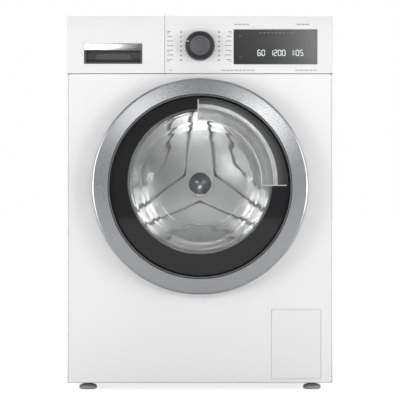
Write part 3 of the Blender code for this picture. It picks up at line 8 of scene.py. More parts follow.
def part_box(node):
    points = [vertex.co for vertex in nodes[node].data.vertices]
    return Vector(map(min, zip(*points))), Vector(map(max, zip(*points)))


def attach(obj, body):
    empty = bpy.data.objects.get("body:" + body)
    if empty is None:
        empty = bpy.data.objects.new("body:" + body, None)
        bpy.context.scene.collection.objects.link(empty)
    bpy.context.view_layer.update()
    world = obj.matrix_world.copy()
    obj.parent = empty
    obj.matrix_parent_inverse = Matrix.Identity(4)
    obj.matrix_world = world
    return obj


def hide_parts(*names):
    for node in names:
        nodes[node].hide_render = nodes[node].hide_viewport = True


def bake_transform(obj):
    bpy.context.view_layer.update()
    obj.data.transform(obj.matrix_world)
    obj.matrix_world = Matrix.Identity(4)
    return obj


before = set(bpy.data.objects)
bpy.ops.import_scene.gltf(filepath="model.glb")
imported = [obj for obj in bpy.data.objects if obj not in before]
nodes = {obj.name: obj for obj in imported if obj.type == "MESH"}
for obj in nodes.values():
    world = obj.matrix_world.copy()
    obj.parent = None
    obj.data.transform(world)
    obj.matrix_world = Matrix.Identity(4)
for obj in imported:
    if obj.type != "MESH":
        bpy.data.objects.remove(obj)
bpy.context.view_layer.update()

bpy.context.scene.view_settings.view_transform = "Standard"

# places that everything is measured from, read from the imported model
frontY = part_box("front_panel")[0].y
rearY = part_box("rear_panel")[1].y
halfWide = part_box("right_side_panel")[1].x
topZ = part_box("worktop")[1].z
ringLow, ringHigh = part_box("door_ring")
doorZ = (ringLow.z + ringHigh.z) / 2
doorR = (ringHigh.z - ringLow.z) / 2
drumLow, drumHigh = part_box("drum_basket")
drumZ = (drumLow.z + drumHigh.z) / 2
drumR = (drumHigh.z - drumLow.z) / 2


# ---- small tools
def toLinear(hexColour):
    parts = [int(hexColour[i:i + 2], 16) / 255 for i in (1, 3, 5)]
    return (*[c / 12.92 if c <= 0.04045 else ((c + 0.055) / 1.055) ** 2.4 for c in parts], 1.0)


def addNode(tree, kind, inputs=None, **settings):
    node = tree.nodes.new(kind)
    for key, value in settings.items():
        setattr(node, key, value)
    for key, value in (inputs or {}).items():
        if isinstance(value, bpy.types.NodeSocket):
            tree.links.new(value, node.inputs[key])
        else:
            node.inputs[key].default_value = value
    return node


def newFinish(name):
    made = bpy.data.materials.new(name)
    made.use_nodes = True
    tree = made.node_tree
    shader = tree.nodes["Principled BSDF"]
    return made, tree, shader, addNode(tree, "ShaderNodeTexCoord").outputs["Object"]


def makeFinish(name, look):
    # look: colour, roughness, metallic, ior, grainMm and grainDeep (mm) for the fine relief,
    # patchMm and mottle for slow colour changes, stretch for a brushed direction
    made, tree, shader, coords = newFinish(name)
    shader.inputs["Metallic"].default_value = look.get("metallic", 0.0)
    if not look.get("metallic"):
        shader.inputs["IOR"].default_value = look.get("ior", 1.5)
    if look.get("coat"):
        shader.inputs["Coat Weight"].default_value = look["coat"]
        shader.inputs["Coat Roughness"].default_value = look.get("coatRough", 0.06)
    stretched = addNode(tree, "ShaderNodeMapping", {"Vector": coords,
                                                    "Scale": look.get("stretch", (1, 1, 1))})
    patches = addNode(tree, "ShaderNodeTexNoise", {"Vector": coords, "Scale": 1000 / look.get("patchMm", 70),
                                                   "Detail": 3.0, "Roughness": 0.55})
    grain = addNode(tree, "ShaderNodeTexNoise", {"Vector": stretched.outputs["Vector"],
                                                 "Scale": 1000 / look["grainMm"], "Detail": 2.0})
    base = toLinear(look["colour"])
    spread = look.get("mottle", 0.03)
    ramp = addNode(tree, "ShaderNodeValToRGB", {"Fac": patches.outputs["Fac"]})
    ramp.color_ramp.elements[0].position = 0.32
    ramp.color_ramp.elements[1].position = 0.68
    ramp.color_ramp.elements[0].color = (*[c * (1 - spread) for c in base[:3]], 1)
    ramp.color_ramp.elements[1].color = (*[min(1, c * (1 + spread)) for c in base[:3]], 1)
    tree.links.new(ramp.outputs["Color"], shader.inputs["Base Color"])
    rough = addNode(tree, "ShaderNodeMapRange", {
        "Value": grain.outputs["Fac"], "From Min": 0.3, "From Max": 0.7,
        "To Min": look["roughness"] - look.get("roughSpread", 0.04),
        "To Max": look["roughness"] + look.get("roughSpread", 0.04)})
    tree.links.new(rough.outputs["Result"], shader.inputs["Roughness"])
    bump = addNode(tree, "ShaderNodeBump", {"Height": grain.outputs["Fac"], "Strength": look.get("bump", 0.3),
                                            "Distance": look["grainDeep"] / 1000})
    tree.links.new(bump.outputs["Normal"], shader.inputs["Normal"])
    return made


finishes = {
    # baked enamel on steel sheet: smooth, a faint orange peel and a soft gloss
    "enamelSteel": dict(colour="#F4F4F5", roughness=0.30, grainMm=2.2, grainDeep=0.05, mottle=0.006,
                        patchMm=240),
    # injection moulded ABS, fine satin spark texture
    "mouldedAbs": dict(colour="#F1F1F2", roughness=0.38, grainMm=0.9, grainDeep=0.03, mottle=0.006,
                       patchMm=200),
    # laminated board with a faint pebbled foil
    "laminateTop": dict(colour="#F2F2F2", roughness=0.45, grainMm=1.6, grainDeep=0.06, mottle=0.012,
                        patchMm=120),
    # polypropylene, matt and slightly waxy
    "greyPolypropylene": dict(colour="#B9BABC", roughness=0.50, grainMm=1.1, grainDeep=0.04, mottle=0.03,
                              ior=1.49),
    "tubPolypropylene": dict(colour="#C9C7C0", roughness=0.55, grainMm=1.4, grainDeep=0.05, mottle=0.05,
                             ior=1.49),
    # dark moulded ABS in the door and the handle, fine spark texture
    "darkAbs": dict(colour="#2B2B2D", roughness=0.42, grainMm=0.8, grainDeep=0.03, mottle=0.04),
    "handleAbs": dict(colour="#4D4D4F", roughness=0.38, grainMm=0.8, grainDeep=0.03, mottle=0.03),
    "glossBlack": dict(colour="#0B0B0C", roughness=0.16, grainMm=3.0, grainDeep=0.01, mottle=0.05),
    "bezelGrey": dict(colour="#6E6E70", roughness=0.30, grainMm=1.2, grainDeep=0.02, mottle=0.04),
    # lacquered dial with a metallic fleck
    "dialCap": dict(colour="#57575A", roughness=0.34, metallic=0.4, grainMm=0.5, grainDeep=0.02, mottle=0.04,
                    coat=0.2),
    "dialLacquer": dict(colour="#262628", roughness=0.30, metallic=0.3, grainMm=0.5, grainDeep=0.02,
                        mottle=0.04,
                        coat=0.25),
    # electroplated satin chrome
    "satinChrome": dict(colour="#B6B7B9", roughness=0.28, metallic=1.0, grainMm=0.7, grainDeep=0.0008,
                        mottle=0.006,
                        roughSpread=0.02),
    "brightChrome": dict(colour="#D6D7D9", roughness=0.10, metallic=1.0, grainMm=0.7, grainDeep=0.002,
                         mottle=0.01,
                         roughSpread=0.01),
    # rolled stainless sheet, brushed along its length
    "rolledStainless": dict(colour="#D2D2D2", roughness=0.31, metallic=1.0, grainMm=1.2, grainDeep=0.02,
                            mottle=0.04,
                            patchMm=50, stretch=(1, 0.08, 1)),
    "castAluminium": dict(colour="#A9AAAC", roughness=0.52, metallic=1.0, grainMm=1.2, grainDeep=0.12,
                          mottle=0.08,
                          patchMm=18),
    "bareSteel": dict(colour="#8C8D90", roughness=0.38, metallic=1.0, grainMm=0.9, grainDeep=0.03,
                      mottle=0.08,
                      patchMm=12),
    # hot dip zinc, a cloudy crystal pattern
    "galvanisedSheet": dict(colour="#B5B8BA", roughness=0.42, metallic=0.9, grainMm=9.0, grainDeep=0.02,
                            mottle=0.10,
                            patchMm=14),
    # EPDM rubber, a matt bloom over mid grey
    "epdmRubber": dict(colour="#6F7072", roughness=0.72, grainMm=1.0, grainDeep=0.05, mottle=0.07, patchMm=25,
                       ior=1.52),
    "blackRubber": dict(colour="#202022", roughness=0.75, grainMm=1.0, grainDeep=0.06, mottle=0.10,
                        patchMm=20, ior=1.52),
    # cast concrete with fine voids
    "castConcrete": dict(colour="#8F8C86", roughness=0.90, grainMm=2.4, grainDeep=0.7, mottle=0.16,
                         patchMm=16, bump=0.7),
    "paintedMotor": dict(colour="#3A3B3E", roughness=0.48, metallic=0.5, grainMm=0.9, grainDeep=0.05,
                         mottle=0.08),
    "printInk": dict(colour="#414246", roughness=0.55, grainMm=0.4, grainDeep=0.01, mottle=0.05),
    "paleInk": dict(colour="#6E6F73", roughness=0.55, grainMm=0.4, grainDeep=0.01, mottle=0.05),
    "blueSoftener": dict(colour="#5C7FA8", roughness=0.40, grainMm=0.9, grainDeep=0.03, mottle=0.03),
}
made = {name: makeFinish(name, look) for name, look in finishes.items()}


def lampThrough(tree, shader, tint):
    # lamps reach what is behind the glass, as they do through a real thin pane
    path = addNode(tree, "ShaderNodeLightPath")
    clear = addNode(tree, "ShaderNodeBsdfTransparent", {"Color": tint})
    both = addNode(tree, "ShaderNodeMixShader", {0: path.outputs["Is Shadow Ray"], 1: shader.outputs["BSDF"],
                                                 2: clear.outputs["BSDF"]})
    tree.links.new(both.outputs["Shader"], tree.nodes["Material Output"].inputs["Surface"])


def makeGlass():
    # borosilicate bowl, pressed: clear and very smooth, a slow waviness from the mould
    material, tree, shader, coords = newFinish("borosilicateGlass")
    shader.inputs["Base Color"].default_value = toLinear("#F7F8F8")
    shader.inputs["Transmission Weight"].default_value = 1.0
    shader.inputs["Roughness"].default_value = 0.015
    shader.inputs["IOR"].default_value = 1.47
    wave = addNode(tree, "ShaderNodeTexNoise", {"Vector": coords, "Scale": 26.0, "Detail": 1.0})
    bump = addNode(tree, "ShaderNodeBump", {"Height": wave.outputs["Fac"], "Strength": 0.15,
                                            "Distance": 0.0006})
    tree.links.new(bump.outputs["Normal"], shader.inputs["Normal"])
    lampThrough(tree, shader, toLinear("#F7F8F8"))
    return material


def makePane(look):
    # smoked PMMA: a dark print round the edge, tinted clear in the middle
    material, tree, shader, coords = newFinish("smokedPmma")
    moved = addNode(tree, "ShaderNodeMapping", {"Vector": coords, "Location": (0, 0, -drumZ),
                                                "Scale": (1, 0, 1)})
    length = addNode(tree, "ShaderNodeVectorMath", {0: moved.outputs["Vector"]}, operation="LENGTH")
    band = addNode(tree, "ShaderNodeMapRange", {"Value": length.outputs["Value"],
                                                "From Min": look["clearR"] - 0.0006,
                                                "From Max": look["clearR"] + 0.0006})
    tint = addNode(tree, "ShaderNodeMix", {0: band.outputs["Result"], 6: toLinear(look["clear"]),
                                           7: toLinear(look["band"])}, data_type="RGBA")
    tree.links.new(tint.outputs[2], shader.inputs["Base Color"])
    shader.inputs["IOR"].default_value = 1.49
    shader.inputs["Roughness"].default_value = look["rough"]
    through = addNode(tree, "ShaderNodeMapRange", {"Value": band.outputs["Result"], "To Min": 1.0,
                                                   "To Max": look["bandThrough"]})
    tree.links.new(through.outputs["Result"], shader.inputs["Transmission Weight"])
    lampThrough(tree, shader, tint.outputs[2])
    return material


def makeLit(name, colour, strength):
    # light guide behind the smoked window: even and cool
    material, tree, shader, coords = newFinish(name)
    shader.inputs["Base Color"].default_value = toLinear(colour)
    shader.inputs["Emission Color"].default_value = toLinear(colour)
    cell = addNode(tree, "ShaderNodeTexNoise", {"Vector": coords, "Scale": 900.0})
    power = addNode(tree, "ShaderNodeMapRange", {"Value": cell.outputs["Fac"], "To Min": strength * 0.8,
                                                 "To Max": strength * 1.1})
    tree.links.new(power.outputs["Result"], shader.inputs["Emission Strength"])
    return material


def makeFrosted(look):
    # the grip's cup: pale frosted PMMA near the bowl; the darkening to the ring is painted shade, the shadow
    # in the trough under the ring
    material, tree, shader, coords = newFinish("frostedGrip")
    moved = addNode(tree, "ShaderNodeMapping", {"Vector": coords, "Location": (0, 0, -drumZ),
                                                "Scale": (1, 0, 1)})
    length = addNode(tree, "ShaderNodeVectorMath", {0: moved.outputs["Vector"]}, operation="LENGTH")
    ramp = addNode(tree, "ShaderNodeValToRGB")
    spread = addNode(tree, "ShaderNodeMapRange", {"Value": length.outputs["Value"],
                                                  "From Min": look["innerR"],
                                                  "From Max": look["outerR"]})
    tree.links.new(spread.outputs["Result"], ramp.inputs["Fac"])
    stops = ramp.color_ramp.elements
    stops[0].color, stops[1].color = toLinear(look["stops"][0][1]), toLinear(look["stops"][-1][1])
    for where, colour in look["stops"][1:-1]:
        stops.new(where).color = toLinear(colour)
    tree.links.new(ramp.outputs["Color"], shader.inputs["Base Color"])
    shader.inputs["Roughness"].default_value = 0.32
    grain = addNode(tree, "ShaderNodeTexNoise", {"Vector": coords, "Scale": 1100.0})
    bump = addNode(tree, "ShaderNodeBump", {"Height": grain.outputs["Fac"], "Strength": 0.2,
                                            "Distance": 0.00003})
    tree.links.new(bump.outputs["Normal"], shader.inputs["Normal"])
    return material


def makeFrostedClear(name, look):
    # bead-blasted PMMA for the grip's shoulder and polished PMMA for its rims; the rims' pale, mostly opaque
    # colour is a painted highlight along the polished edges
    material, tree, shader, coords = newFinish(name)
    cloud = addNode(tree, "ShaderNodeTexNoise", {"Vector": coords, "Scale": 34.0,
                                                 "Detail": 2.0}).outputs["Fac"]
    tone = addNode(tree, "ShaderNodeMix", {0: cloud, 6: toLinear(look["low"]), 7: toLinear(look["high"])},
                   data_type="RGBA").outputs[2]
    tree.links.new(tone, shader.inputs["Base Color"])
    shader.inputs["Roughness"].default_value = look["rough"]
    shader.inputs["Transmission Weight"].default_value = look["through"]
    shader.inputs["IOR"].default_value = 1.49
    lampThrough(tree, shader, toLinear("#E8E8E8"))
    return material


made["frostedShoulder"] = makeFrostedClear("frostedShoulder",
                                           dict(low="#B0B1B2", high="#CFD0D0", rough=0.22, through=0.78))
# near white and mostly opaque: a painted highlight on the cut-out's polished edges
made["polishedEdge"] = makeFrostedClear("polishedEdge",
                                        dict(low="#D0D0D0", high="#E4E4E4", rough=0.15, through=0.15))
made["borosilicateGlass"] = makeGlass()
made["smokedPmma"] = makePane(dict(clearR=0.1605, clear="#E8E8E8", band="#333335", bandThrough=0.35,
                                   rough=0.03))
# the ramp's dark end at the ring is painted shade
made["frostedGrip"] = makeFrosted(dict(innerR=0.1485, outerR=0.205, stops=[
    (0, "#B9BBBB"), (0.22, "#A4A6A7"), (0.38, "#6A6B6D"), (0.75, "#3F4042"), (1, "#1A1A1B")]))
made["litSegment"] = makeLit("litSegment", "#E6ECEC", 0.62)
print("finishes ready")


# ---- mesh tools
def newObject(name, verts, faces):
    mesh = bpy.data.meshes.new(name)
    mesh.from_pydata([tuple(v) for v in verts], [], faces)
    obj = bpy.data.objects.new(name, mesh)
    bpy.context.scene.collection.objects.link(obj)
    return obj


def tidyMesh(obj, merge=1e-6, outward=True):
    bm = bmesh.new()
    bm.from_mesh(obj.data)
    bmesh.ops.remove_doubles(bm, verts=bm.verts, dist=merge)
    if outward:
        bmesh.ops.recalc_face_normals(bm, faces=bm.faces)
    bm.to_mesh(obj.data)
    bm.free()
    return obj


def realMesh(name, obj):
    # the evaluated object as a plain mesh at the origin
    bpy.context.view_layer.update()
    graph = bpy.context.evaluated_depsgraph_get()
    mesh = bpy.data.meshes.new_from_object(obj.evaluated_get(graph), depsgraph=graph)
    mesh.transform(obj.matrix_world)
    if obj.matrix_world.is_negative:
        mesh.flip_normals()
    obj.name = "spent"
    bpy.data.objects.remove(obj)
    result = bpy.data.objects.new(name, mesh)
    bpy.context.scene.collection.objects.link(result)
    return result


def fillet(points, size, steps=3, closed=True):
    rounded = []
    for i, point in enumerate(points):
        if not closed and i in (0, len(points) - 1) or point[0] == 0:
            rounded.append(tuple(point))
            continue
        a, b, c = (Vector(points[k % len(points)]) for k in (i - 1, i, i + 1))
        start = b + (a - b).normalized() * min(size, (a - b).length * 0.45)
        end = b + (c - b).normalized() * min(size, (c - b).length * 0.45)
        for k in range(steps + 1):
            t = k / steps
            rounded.append(tuple((1 - t) ** 2 * start + 2 * t * (1 - t) * b + t * t * end))
    return rounded


def lathe(name, profile, centreZ, centreX=0.0, steps=192, size=0.0, upright=None, closed=True):
    # profile: (radius, deep) points, turned about the machine's depth, or about a vertical line
    if size:
        profile = fillet(profile, size, closed=closed)
    verts, faces, rings = [], [], []
    for radius, along in profile:
        ring = []
        for i in range(1 if radius < 1e-7 else steps):
            t = 2 * math.pi * i / steps
            ring.append(len(verts))
            if upright:
                verts.append((upright[0] + radius * math.cos(t), upright[1] + radius * math.sin(t), along))
            else:
                verts.append((centreX + radius * math.cos(t), frontY + along, centreZ + radius * math.sin(t)))
        rings.append(ring)
    pairs = list(zip(rings, rings[1:]))
    if closed and not (len(rings[0]) == 1 and len(rings[-1]) == 1):
        pairs.append((rings[-1], rings[0]))
    for a, b in pairs:
        if len(a) == 1 and len(b) == 1:
            continue
        for i in range(steps):
            k = (i + 1) % steps
            if len(a) == 1:
                faces.append((a[0], b[k], b[i]))
            elif len(b) == 1:
                faces.append((a[i], a[k], b[0]))
            else:
                faces.append((a[i], a[k], b[k], b[i]))
    return tidyMesh(newObject(name, verts, faces), 1e-7)


axisTurn = {"X": Matrix(((0, 0, 1, 0), (1, 0, 0, 0), (0, 1, 0, 0), (0, 0, 0, 1))),
            "Y": Matrix(((1, 0, 0, 0), (0, 0, 1, 0), (0, 1, 0, 0), (0, 0, 0, 1))),
            "Z": Matrix.Identity(4)}


def area(outline):
    return sum(a[0] * b[1] - b[0] * a[1] for a, b in zip(outline, [*outline[1:], outline[0]])) / 2


def slab(name, outlines, axis, low, high, bevel=0.0, steps=2):
    # flat outlines, the inner ones holes, as a solid with rounded edges
    if isinstance(outlines[0][0], (int, float)):
        outlines = [outlines]
    curve = bpy.data.curves.new(name, "CURVE")
    curve.dimensions = "2D"
    curve.fill_mode = "BOTH"
    curve.extrude = (high - low) / 2 - bevel
    curve.bevel_depth = bevel
    curve.bevel_resolution = steps
    curve.offset = -bevel
    for number, outline in enumerate(outlines):
        if (area(outline) > 0) != (number == 0):
            outline = outline[::-1]
        spline = curve.splines.new("POLY")
        spline.points.add(len(outline) - 1)
        for point, (u, v) in zip(spline.points, outline):
            point.co = (u, v, 0, 1)
        spline.use_cyclic_u = True
    obj = bpy.data.objects.new(name, curve)
    bpy.context.scene.collection.objects.link(obj)
    bpy.context.view_layer.update()
    obj = realMesh(name, obj)
    obj.data.transform(axisTurn[axis] @ Matrix.Translation((0, 0, (low + high) / 2)))
    return tidyMesh(obj, 1e-6)


def brick(name, low, high, bevel=0.0008, steps=2):
    bm = bmesh.new()
    bmesh.ops.create_cube(bm, size=1)
    low, high = Vector(low), Vector(high)
    bmesh.ops.scale(bm, vec=high - low, verts=bm.verts)
    bmesh.ops.translate(bm, vec=(low + high) / 2, verts=bm.verts)
    if bevel:
        bmesh.ops.bevel(bm, geom=bm.edges[:], offset=bevel, segments=steps, profile=0.5, affect="EDGES")
    mesh = bpy.data.meshes.new(name)
    bm.to_mesh(mesh)
    bm.free()
    obj = bpy.data.objects.new(name, mesh)
    bpy.context.scene.collection.objects.link(obj)
    return obj


def roundRect(x0, z0, x1, z1, r, steps=6):
    points = []
    for cx, cz, start in ((x1 - r, z1 - r, 0), (x0 + r, z1 - r, 90), (x0 + r, z0 + r, 180),
                          (x1 - r, z0 + r, 270)):
        for i in range(steps + 1):
            t = math.radians(start + 90 * i / steps)
            points.append((cx + r * math.cos(t), cz + r * math.sin(t)))
    return points


def arc(cx, cz, r, start, end, steps):
    return [(cx + r * math.cos(start + (end - start) * i / steps),
             cz + r * math.sin(start + (end - start) * i / steps))
            for i in range(steps + 1)]


def circle(cx, cz, r, steps=64):
    return arc(cx, cz, r, 0, 2 * math.pi * (steps - 1) / steps, steps - 1)


def sweep(name, route, radius, sides=16):
    # a round tube along a route; radius is a number or one number for each point
    route = [Vector(p) for p in route]
    verts, faces = [], []
    side = None
    for i, point in enumerate(route):
        ahead = (route[min(i + 1, len(route) - 1)] - route[max(i - 1, 0)]).normalized()
        if side is None:
            side = ahead.orthogonal().normalized()
        side = (side - ahead * side.dot(ahead)).normalized()
        other = ahead.cross(side)
        r = radius[i] if isinstance(radius, list) else radius
        for k in range(sides):
            t = 2 * math.pi * k / sides
            verts.append(point + r * (math.cos(t) * side + math.sin(t) * other))
    for i in range(len(route) - 1):
        for k in range(sides):
            a, b = i * sides + k, i * sides + (k + 1) % sides
            faces.append((a, b, b + sides, a + sides))
    faces.append(tuple(range(sides))[::-1])
    faces.append(tuple(range(len(verts) - sides, len(verts))))
    return tidyMesh(newObject(name, verts, faces), 1e-7)


def smoothRoute(points, each=8):
    points = [Vector(p) for p in points]
    ends = [2 * points[0] - points[1], *points, 2 * points[-1] - points[-2]]
    route = []
    for a, b, c, d in zip(ends, ends[1:], ends[2:], ends[3:]):
        for step in range(each):
            t = step / each
            route.append(0.5 * (2 * b + (c - a) * t + (2 * a - 5 * b + 4 * c - d) * t * t
                                + (3 * b - a - 3 * c + d) * t ** 3))
    return [*route, points[-1]]


def cutBy(obj, *cutters, operation="DIFFERENCE"):
    for cutter in cutters:
        step = obj.modifiers.new("cut", "BOOLEAN")
        step.operation = operation
        step.solver = "EXACT"
        step.object = cutter
    name = obj.name
    result = realMesh(name, obj)
    for cutter in cutters:
        bpy.data.objects.remove(cutter)
    result.name = name
    return result


def merged(name, objects):
    bm = bmesh.new()
    for obj in objects:
        bm.from_mesh(obj.data)
        bpy.data.objects.remove(obj)
    mesh = bpy.data.meshes.new(name)
    bm.to_mesh(mesh)
    bm.free()
    result = bpy.data.objects.new(name, mesh)
    bpy.context.scene.collection.objects.link(result)
    return result


def fromCad(name, node, bevel=0.0005, steps=2, angle=32):
    # a copy of a CAD node with its loose triangles welded and its edges rounded
    mesh = nodes[node].data.copy()
    obj = bpy.data.objects.new(name, mesh)
    bpy.context.scene.collection.objects.link(obj)
    bm = bmesh.new()
    bm.from_mesh(mesh)
    bmesh.ops.remove_doubles(bm, verts=bm.verts, dist=2e-5)
    bmesh.ops.dissolve_limit(bm, angle_limit=math.radians(0.5), verts=bm.verts, edges=bm.edges)
    bm.to_mesh(mesh)
    bm.free()
    if bevel:
        step = obj.modifiers.new("edges", "BEVEL")
        step.width = bevel
        step.segments = steps
        step.limit_method = "ANGLE"
        step.angle_limit = math.radians(angle)
        obj = realMesh(name, obj)
    return obj


def finishPiece(obj, body, finish, replaced=(), angle=32):
    if not isinstance(finish, (list, tuple)):
        finish = [finish]
    if len(obj.data.materials) != len(finish):
        obj.data.materials.clear()
        for one in finish:
            obj.data.materials.append(made[one])
    else:
        for i, one in enumerate(finish):
            obj.data.materials[i] = made[one]
    obj.data.shade_smooth()
    obj.data.set_sharp_from_angle(angle=math.radians(angle))
    even = obj.modifiers.new("evenNormals", "WEIGHTED_NORMAL")  # broad flats stay flat beside rounded edges
    even.keep_sharp = True
    mesh = bpy.data.meshes.new_from_object(obj.evaluated_get(bpy.context.evaluated_depsgraph_get()))
    obj.modifiers.clear()
    obj.data = mesh
    if body:  # a piece that blends between two bodies rides on neither
        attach(obj, body)
    if replaced:
        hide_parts(*([replaced] if isinstance(replaced, str) else replaced))
    return obj


# ---- one Geometry Nodes tree repeats a shape in columns and rows, or round an axis
def makePattern():
    tree = bpy.data.node_groups.new("repeatShape", "GeometryNodeTree")
    face = tree.interface
    face.new_socket("Geometry", in_out="INPUT", socket_type="NodeSocketGeometry")
    for label, kind in (("Count", "NodeSocketInt"), ("Rows", "NodeSocketInt"), ("Step", "NodeSocketVector"),
                        ("Row Step", "NodeSocketVector"), ("Turn", "NodeSocketFloat"),
                        ("Row Turn", "NodeSocketFloat"),
                        ("Centre", "NodeSocketVector"), ("Finish", "NodeSocketMaterial")):
        face.new_socket(label, in_out="INPUT", socket_type=kind)
    face.new_socket("Geometry", in_out="OUTPUT", socket_type="NodeSocketGeometry")
    entry = addNode(tree, "NodeGroupInput").outputs
    index = addNode(tree, "GeometryNodeInputIndex").outputs["Index"]
    column = addNode(tree, "ShaderNodeMath", {0: index, 1: entry["Count"]}, operation="MODULO").outputs[0]
    share = addNode(tree, "ShaderNodeMath", {0: index, 1: entry["Count"]}, operation="DIVIDE").outputs[0]
    row = addNode(tree, "ShaderNodeMath", {0: share}, operation="FLOOR").outputs[0]
    total = addNode(tree, "ShaderNodeMath", {0: entry["Count"], 1: entry["Rows"]},
                    operation="MULTIPLY").outputs[0]
    across = addNode(tree, "ShaderNodeVectorMath", {0: entry["Step"], "Scale": column},
                     operation="SCALE").outputs[0]
    down = addNode(tree, "ShaderNodeVectorMath", {0: entry["Row Step"], "Scale": row},
                   operation="SCALE").outputs[0]
    place = addNode(tree, "ShaderNodeVectorMath", {0: across, 1: down}, operation="ADD").outputs[0]
    turnA = addNode(tree, "ShaderNodeMath", {0: entry["Turn"], 1: column}, operation="MULTIPLY").outputs[0]
    turnB = addNode(tree, "ShaderNodeMath", {0: entry["Row Turn"], 1: row}, operation="MULTIPLY").outputs[0]
    turn = addNode(tree, "ShaderNodeMath", {0: turnA, 1: turnB}, operation="ADD").outputs[0]
    angles = addNode(tree, "ShaderNodeCombineXYZ", {"Y": turn}).outputs[0]
    rotation = addNode(tree, "FunctionNodeEulerToRotation", {0: angles}).outputs[0]
    points = addNode(tree, "GeometryNodePoints", {"Count": total, "Position": place}).outputs[0]
    copies = addNode(tree, "GeometryNodeInstanceOnPoints", {"Points": points, "Instance": entry["Geometry"],
                                                            "Rotation": rotation}).outputs[0]
    moved = addNode(tree, "GeometryNodeTransform", {"Geometry": copies,
                                                    "Translation": entry["Centre"]}).outputs[0]
    real = addNode(tree, "GeometryNodeRealizeInstances", {"Geometry": moved}).outputs[0]
    coloured = addNode(tree, "GeometryNodeSetMaterial",
                       {"Geometry": real, "Material": entry["Finish"]}).outputs[0]
    addNode(tree, "NodeGroupOutput", {"Geometry": coloured})
    return tree


pattern = makePattern()


def repeated(name, shape, finish, **sizes):
    values = {"Count": 1, "Rows": 1, "Step": (0.0, 0.0, 0.0), "Row Step": (0.0, 0.0, 0.0), "Turn": 0.0,
              "Row Turn": 0.0, "Centre": (0.0, 0.0, 0.0), "Finish": made[finish]}
    values.update({key.replace("_", " "): value for key, value in sizes.items()})
    step = shape.modifiers.new("repeat", "NODES")
    step.node_group = pattern
    for item in pattern.interface.items_tree:
        if item.in_out == "INPUT" and item.name in values:
            step[item.identifier] = values[item.name]
    return realMesh(name, shape)


def screwHead(radius=0.0042, tall=0.0022, facing=-1):
    # pan head with a cross recess, its seat at y = 0, head towards facing * y
    profile = [(0, 0.55 * tall), (radius * 0.16, 0.55 * tall), (radius * 0.34, tall * 0.98),
               (radius * 0.62, tall * 0.92),
               (radius * 0.92, tall * 0.55), (radius, 0.15 * tall), (radius, 0), (0, 0)]
    return lathe("screw", [(r, facing * y - frontY) for r, y in profile], 0, steps=14)


# ---- camera, light, floor
view = dict(away=3.2, wide=0.8976, height=0.4295, sensor=36.0)
camera = bpy.data.objects.new("camera", bpy.data.cameras.new("camera"))
camera.data.sensor_width = view["sensor"]
camera.data.lens = view["sensor"] * view["away"] / view["wide"]
camera.data.clip_end = 60
camera.location = (0, frontY - view["away"], view["height"])
camera.rotation_euler = (math.pi / 2, 0, 0)
bpy.context.scene.collection.objects.link(camera)
bpy.context.scene.camera = camera


def softBox(name, place, aim, wide, tall, power):
    lamp = bpy.data.lights.new(name, "AREA")
    lamp.shape = "RECTANGLE"
    lamp.size, lamp.size_y = wide, tall
    lamp.energy = power
    obj = bpy.data.objects.new(name, lamp)
    obj.location = place
    obj.rotation_euler = (Vector(aim) - Vector(place)).to_track_quat("-Z", "Y").to_euler()
    bpy.context.scene.collection.objects.link(obj)


def makeStudio(look):
    for number, (angle, off, wide, tall, power) in enumerate(look["boxes"]):
        # boxes ahead of the door, off the camera's line by an angle, so that the ring shows their shapes
        reach = 3.0
        side = reach * math.tan(math.radians(off))
        place = Vector((side * math.cos(math.radians(angle)), frontY - reach,
                        doorZ + side * math.sin(math.radians(angle))))
        softBox(f"ringBox{number}", place, (0, frontY, doorZ), wide, tall, power)
    for name, settings in look["fills"].items():
        softBox(name, *settings)
    sun = bpy.data.lights.new("ceiling", "SUN")
    sun.energy = look["ceiling"]
    sun.angle = math.radians(look["ceilingSoft"])
    obj = bpy.data.objects.new("ceiling", sun)
    obj.rotation_euler = (math.radians(look["ceilingLean"]), 0, 0)
    bpy.context.scene.collection.objects.link(obj)

    world = bpy.data.worlds.new("studio")
    bpy.context.scene.world = world
    world.use_nodes = True
    tree = world.node_tree
    tree.nodes.clear()
    direction = addNode(tree, "ShaderNodeTexCoord").outputs["Generated"]
    facing = addNode(tree, "ShaderNodeVectorMath", {0: direction, 1: (0, -1, 0)},
                     operation="DOT_PRODUCT").outputs["Value"]
    ramp = addNode(tree, "ShaderNodeValToRGB", {"Fac": facing})
    stops = ramp.color_ramp.elements
    for i, (where, grey) in enumerate(look["world"]):
        stop = stops[i] if i < 2 else stops.new(where)
        stop.position = where
        stop.color = (grey, grey, grey, 1)
    path = addNode(tree, "ShaderNodeLightPath").outputs["Is Camera Ray"]
    seen = addNode(tree, "ShaderNodeBackground", {"Color": (1, 1, 1, 1), "Strength": 1.0}).outputs[0]
    given = addNode(tree, "ShaderNodeBackground", {"Color": ramp.outputs["Color"],
                                                   "Strength": look["worldStrength"]}).outputs[0]
    both = addNode(tree, "ShaderNodeMixShader", {0: path, 1: given, 2: seen}).outputs[0]
    addNode(tree, "ShaderNodeOutputWorld", {"Surface": both})


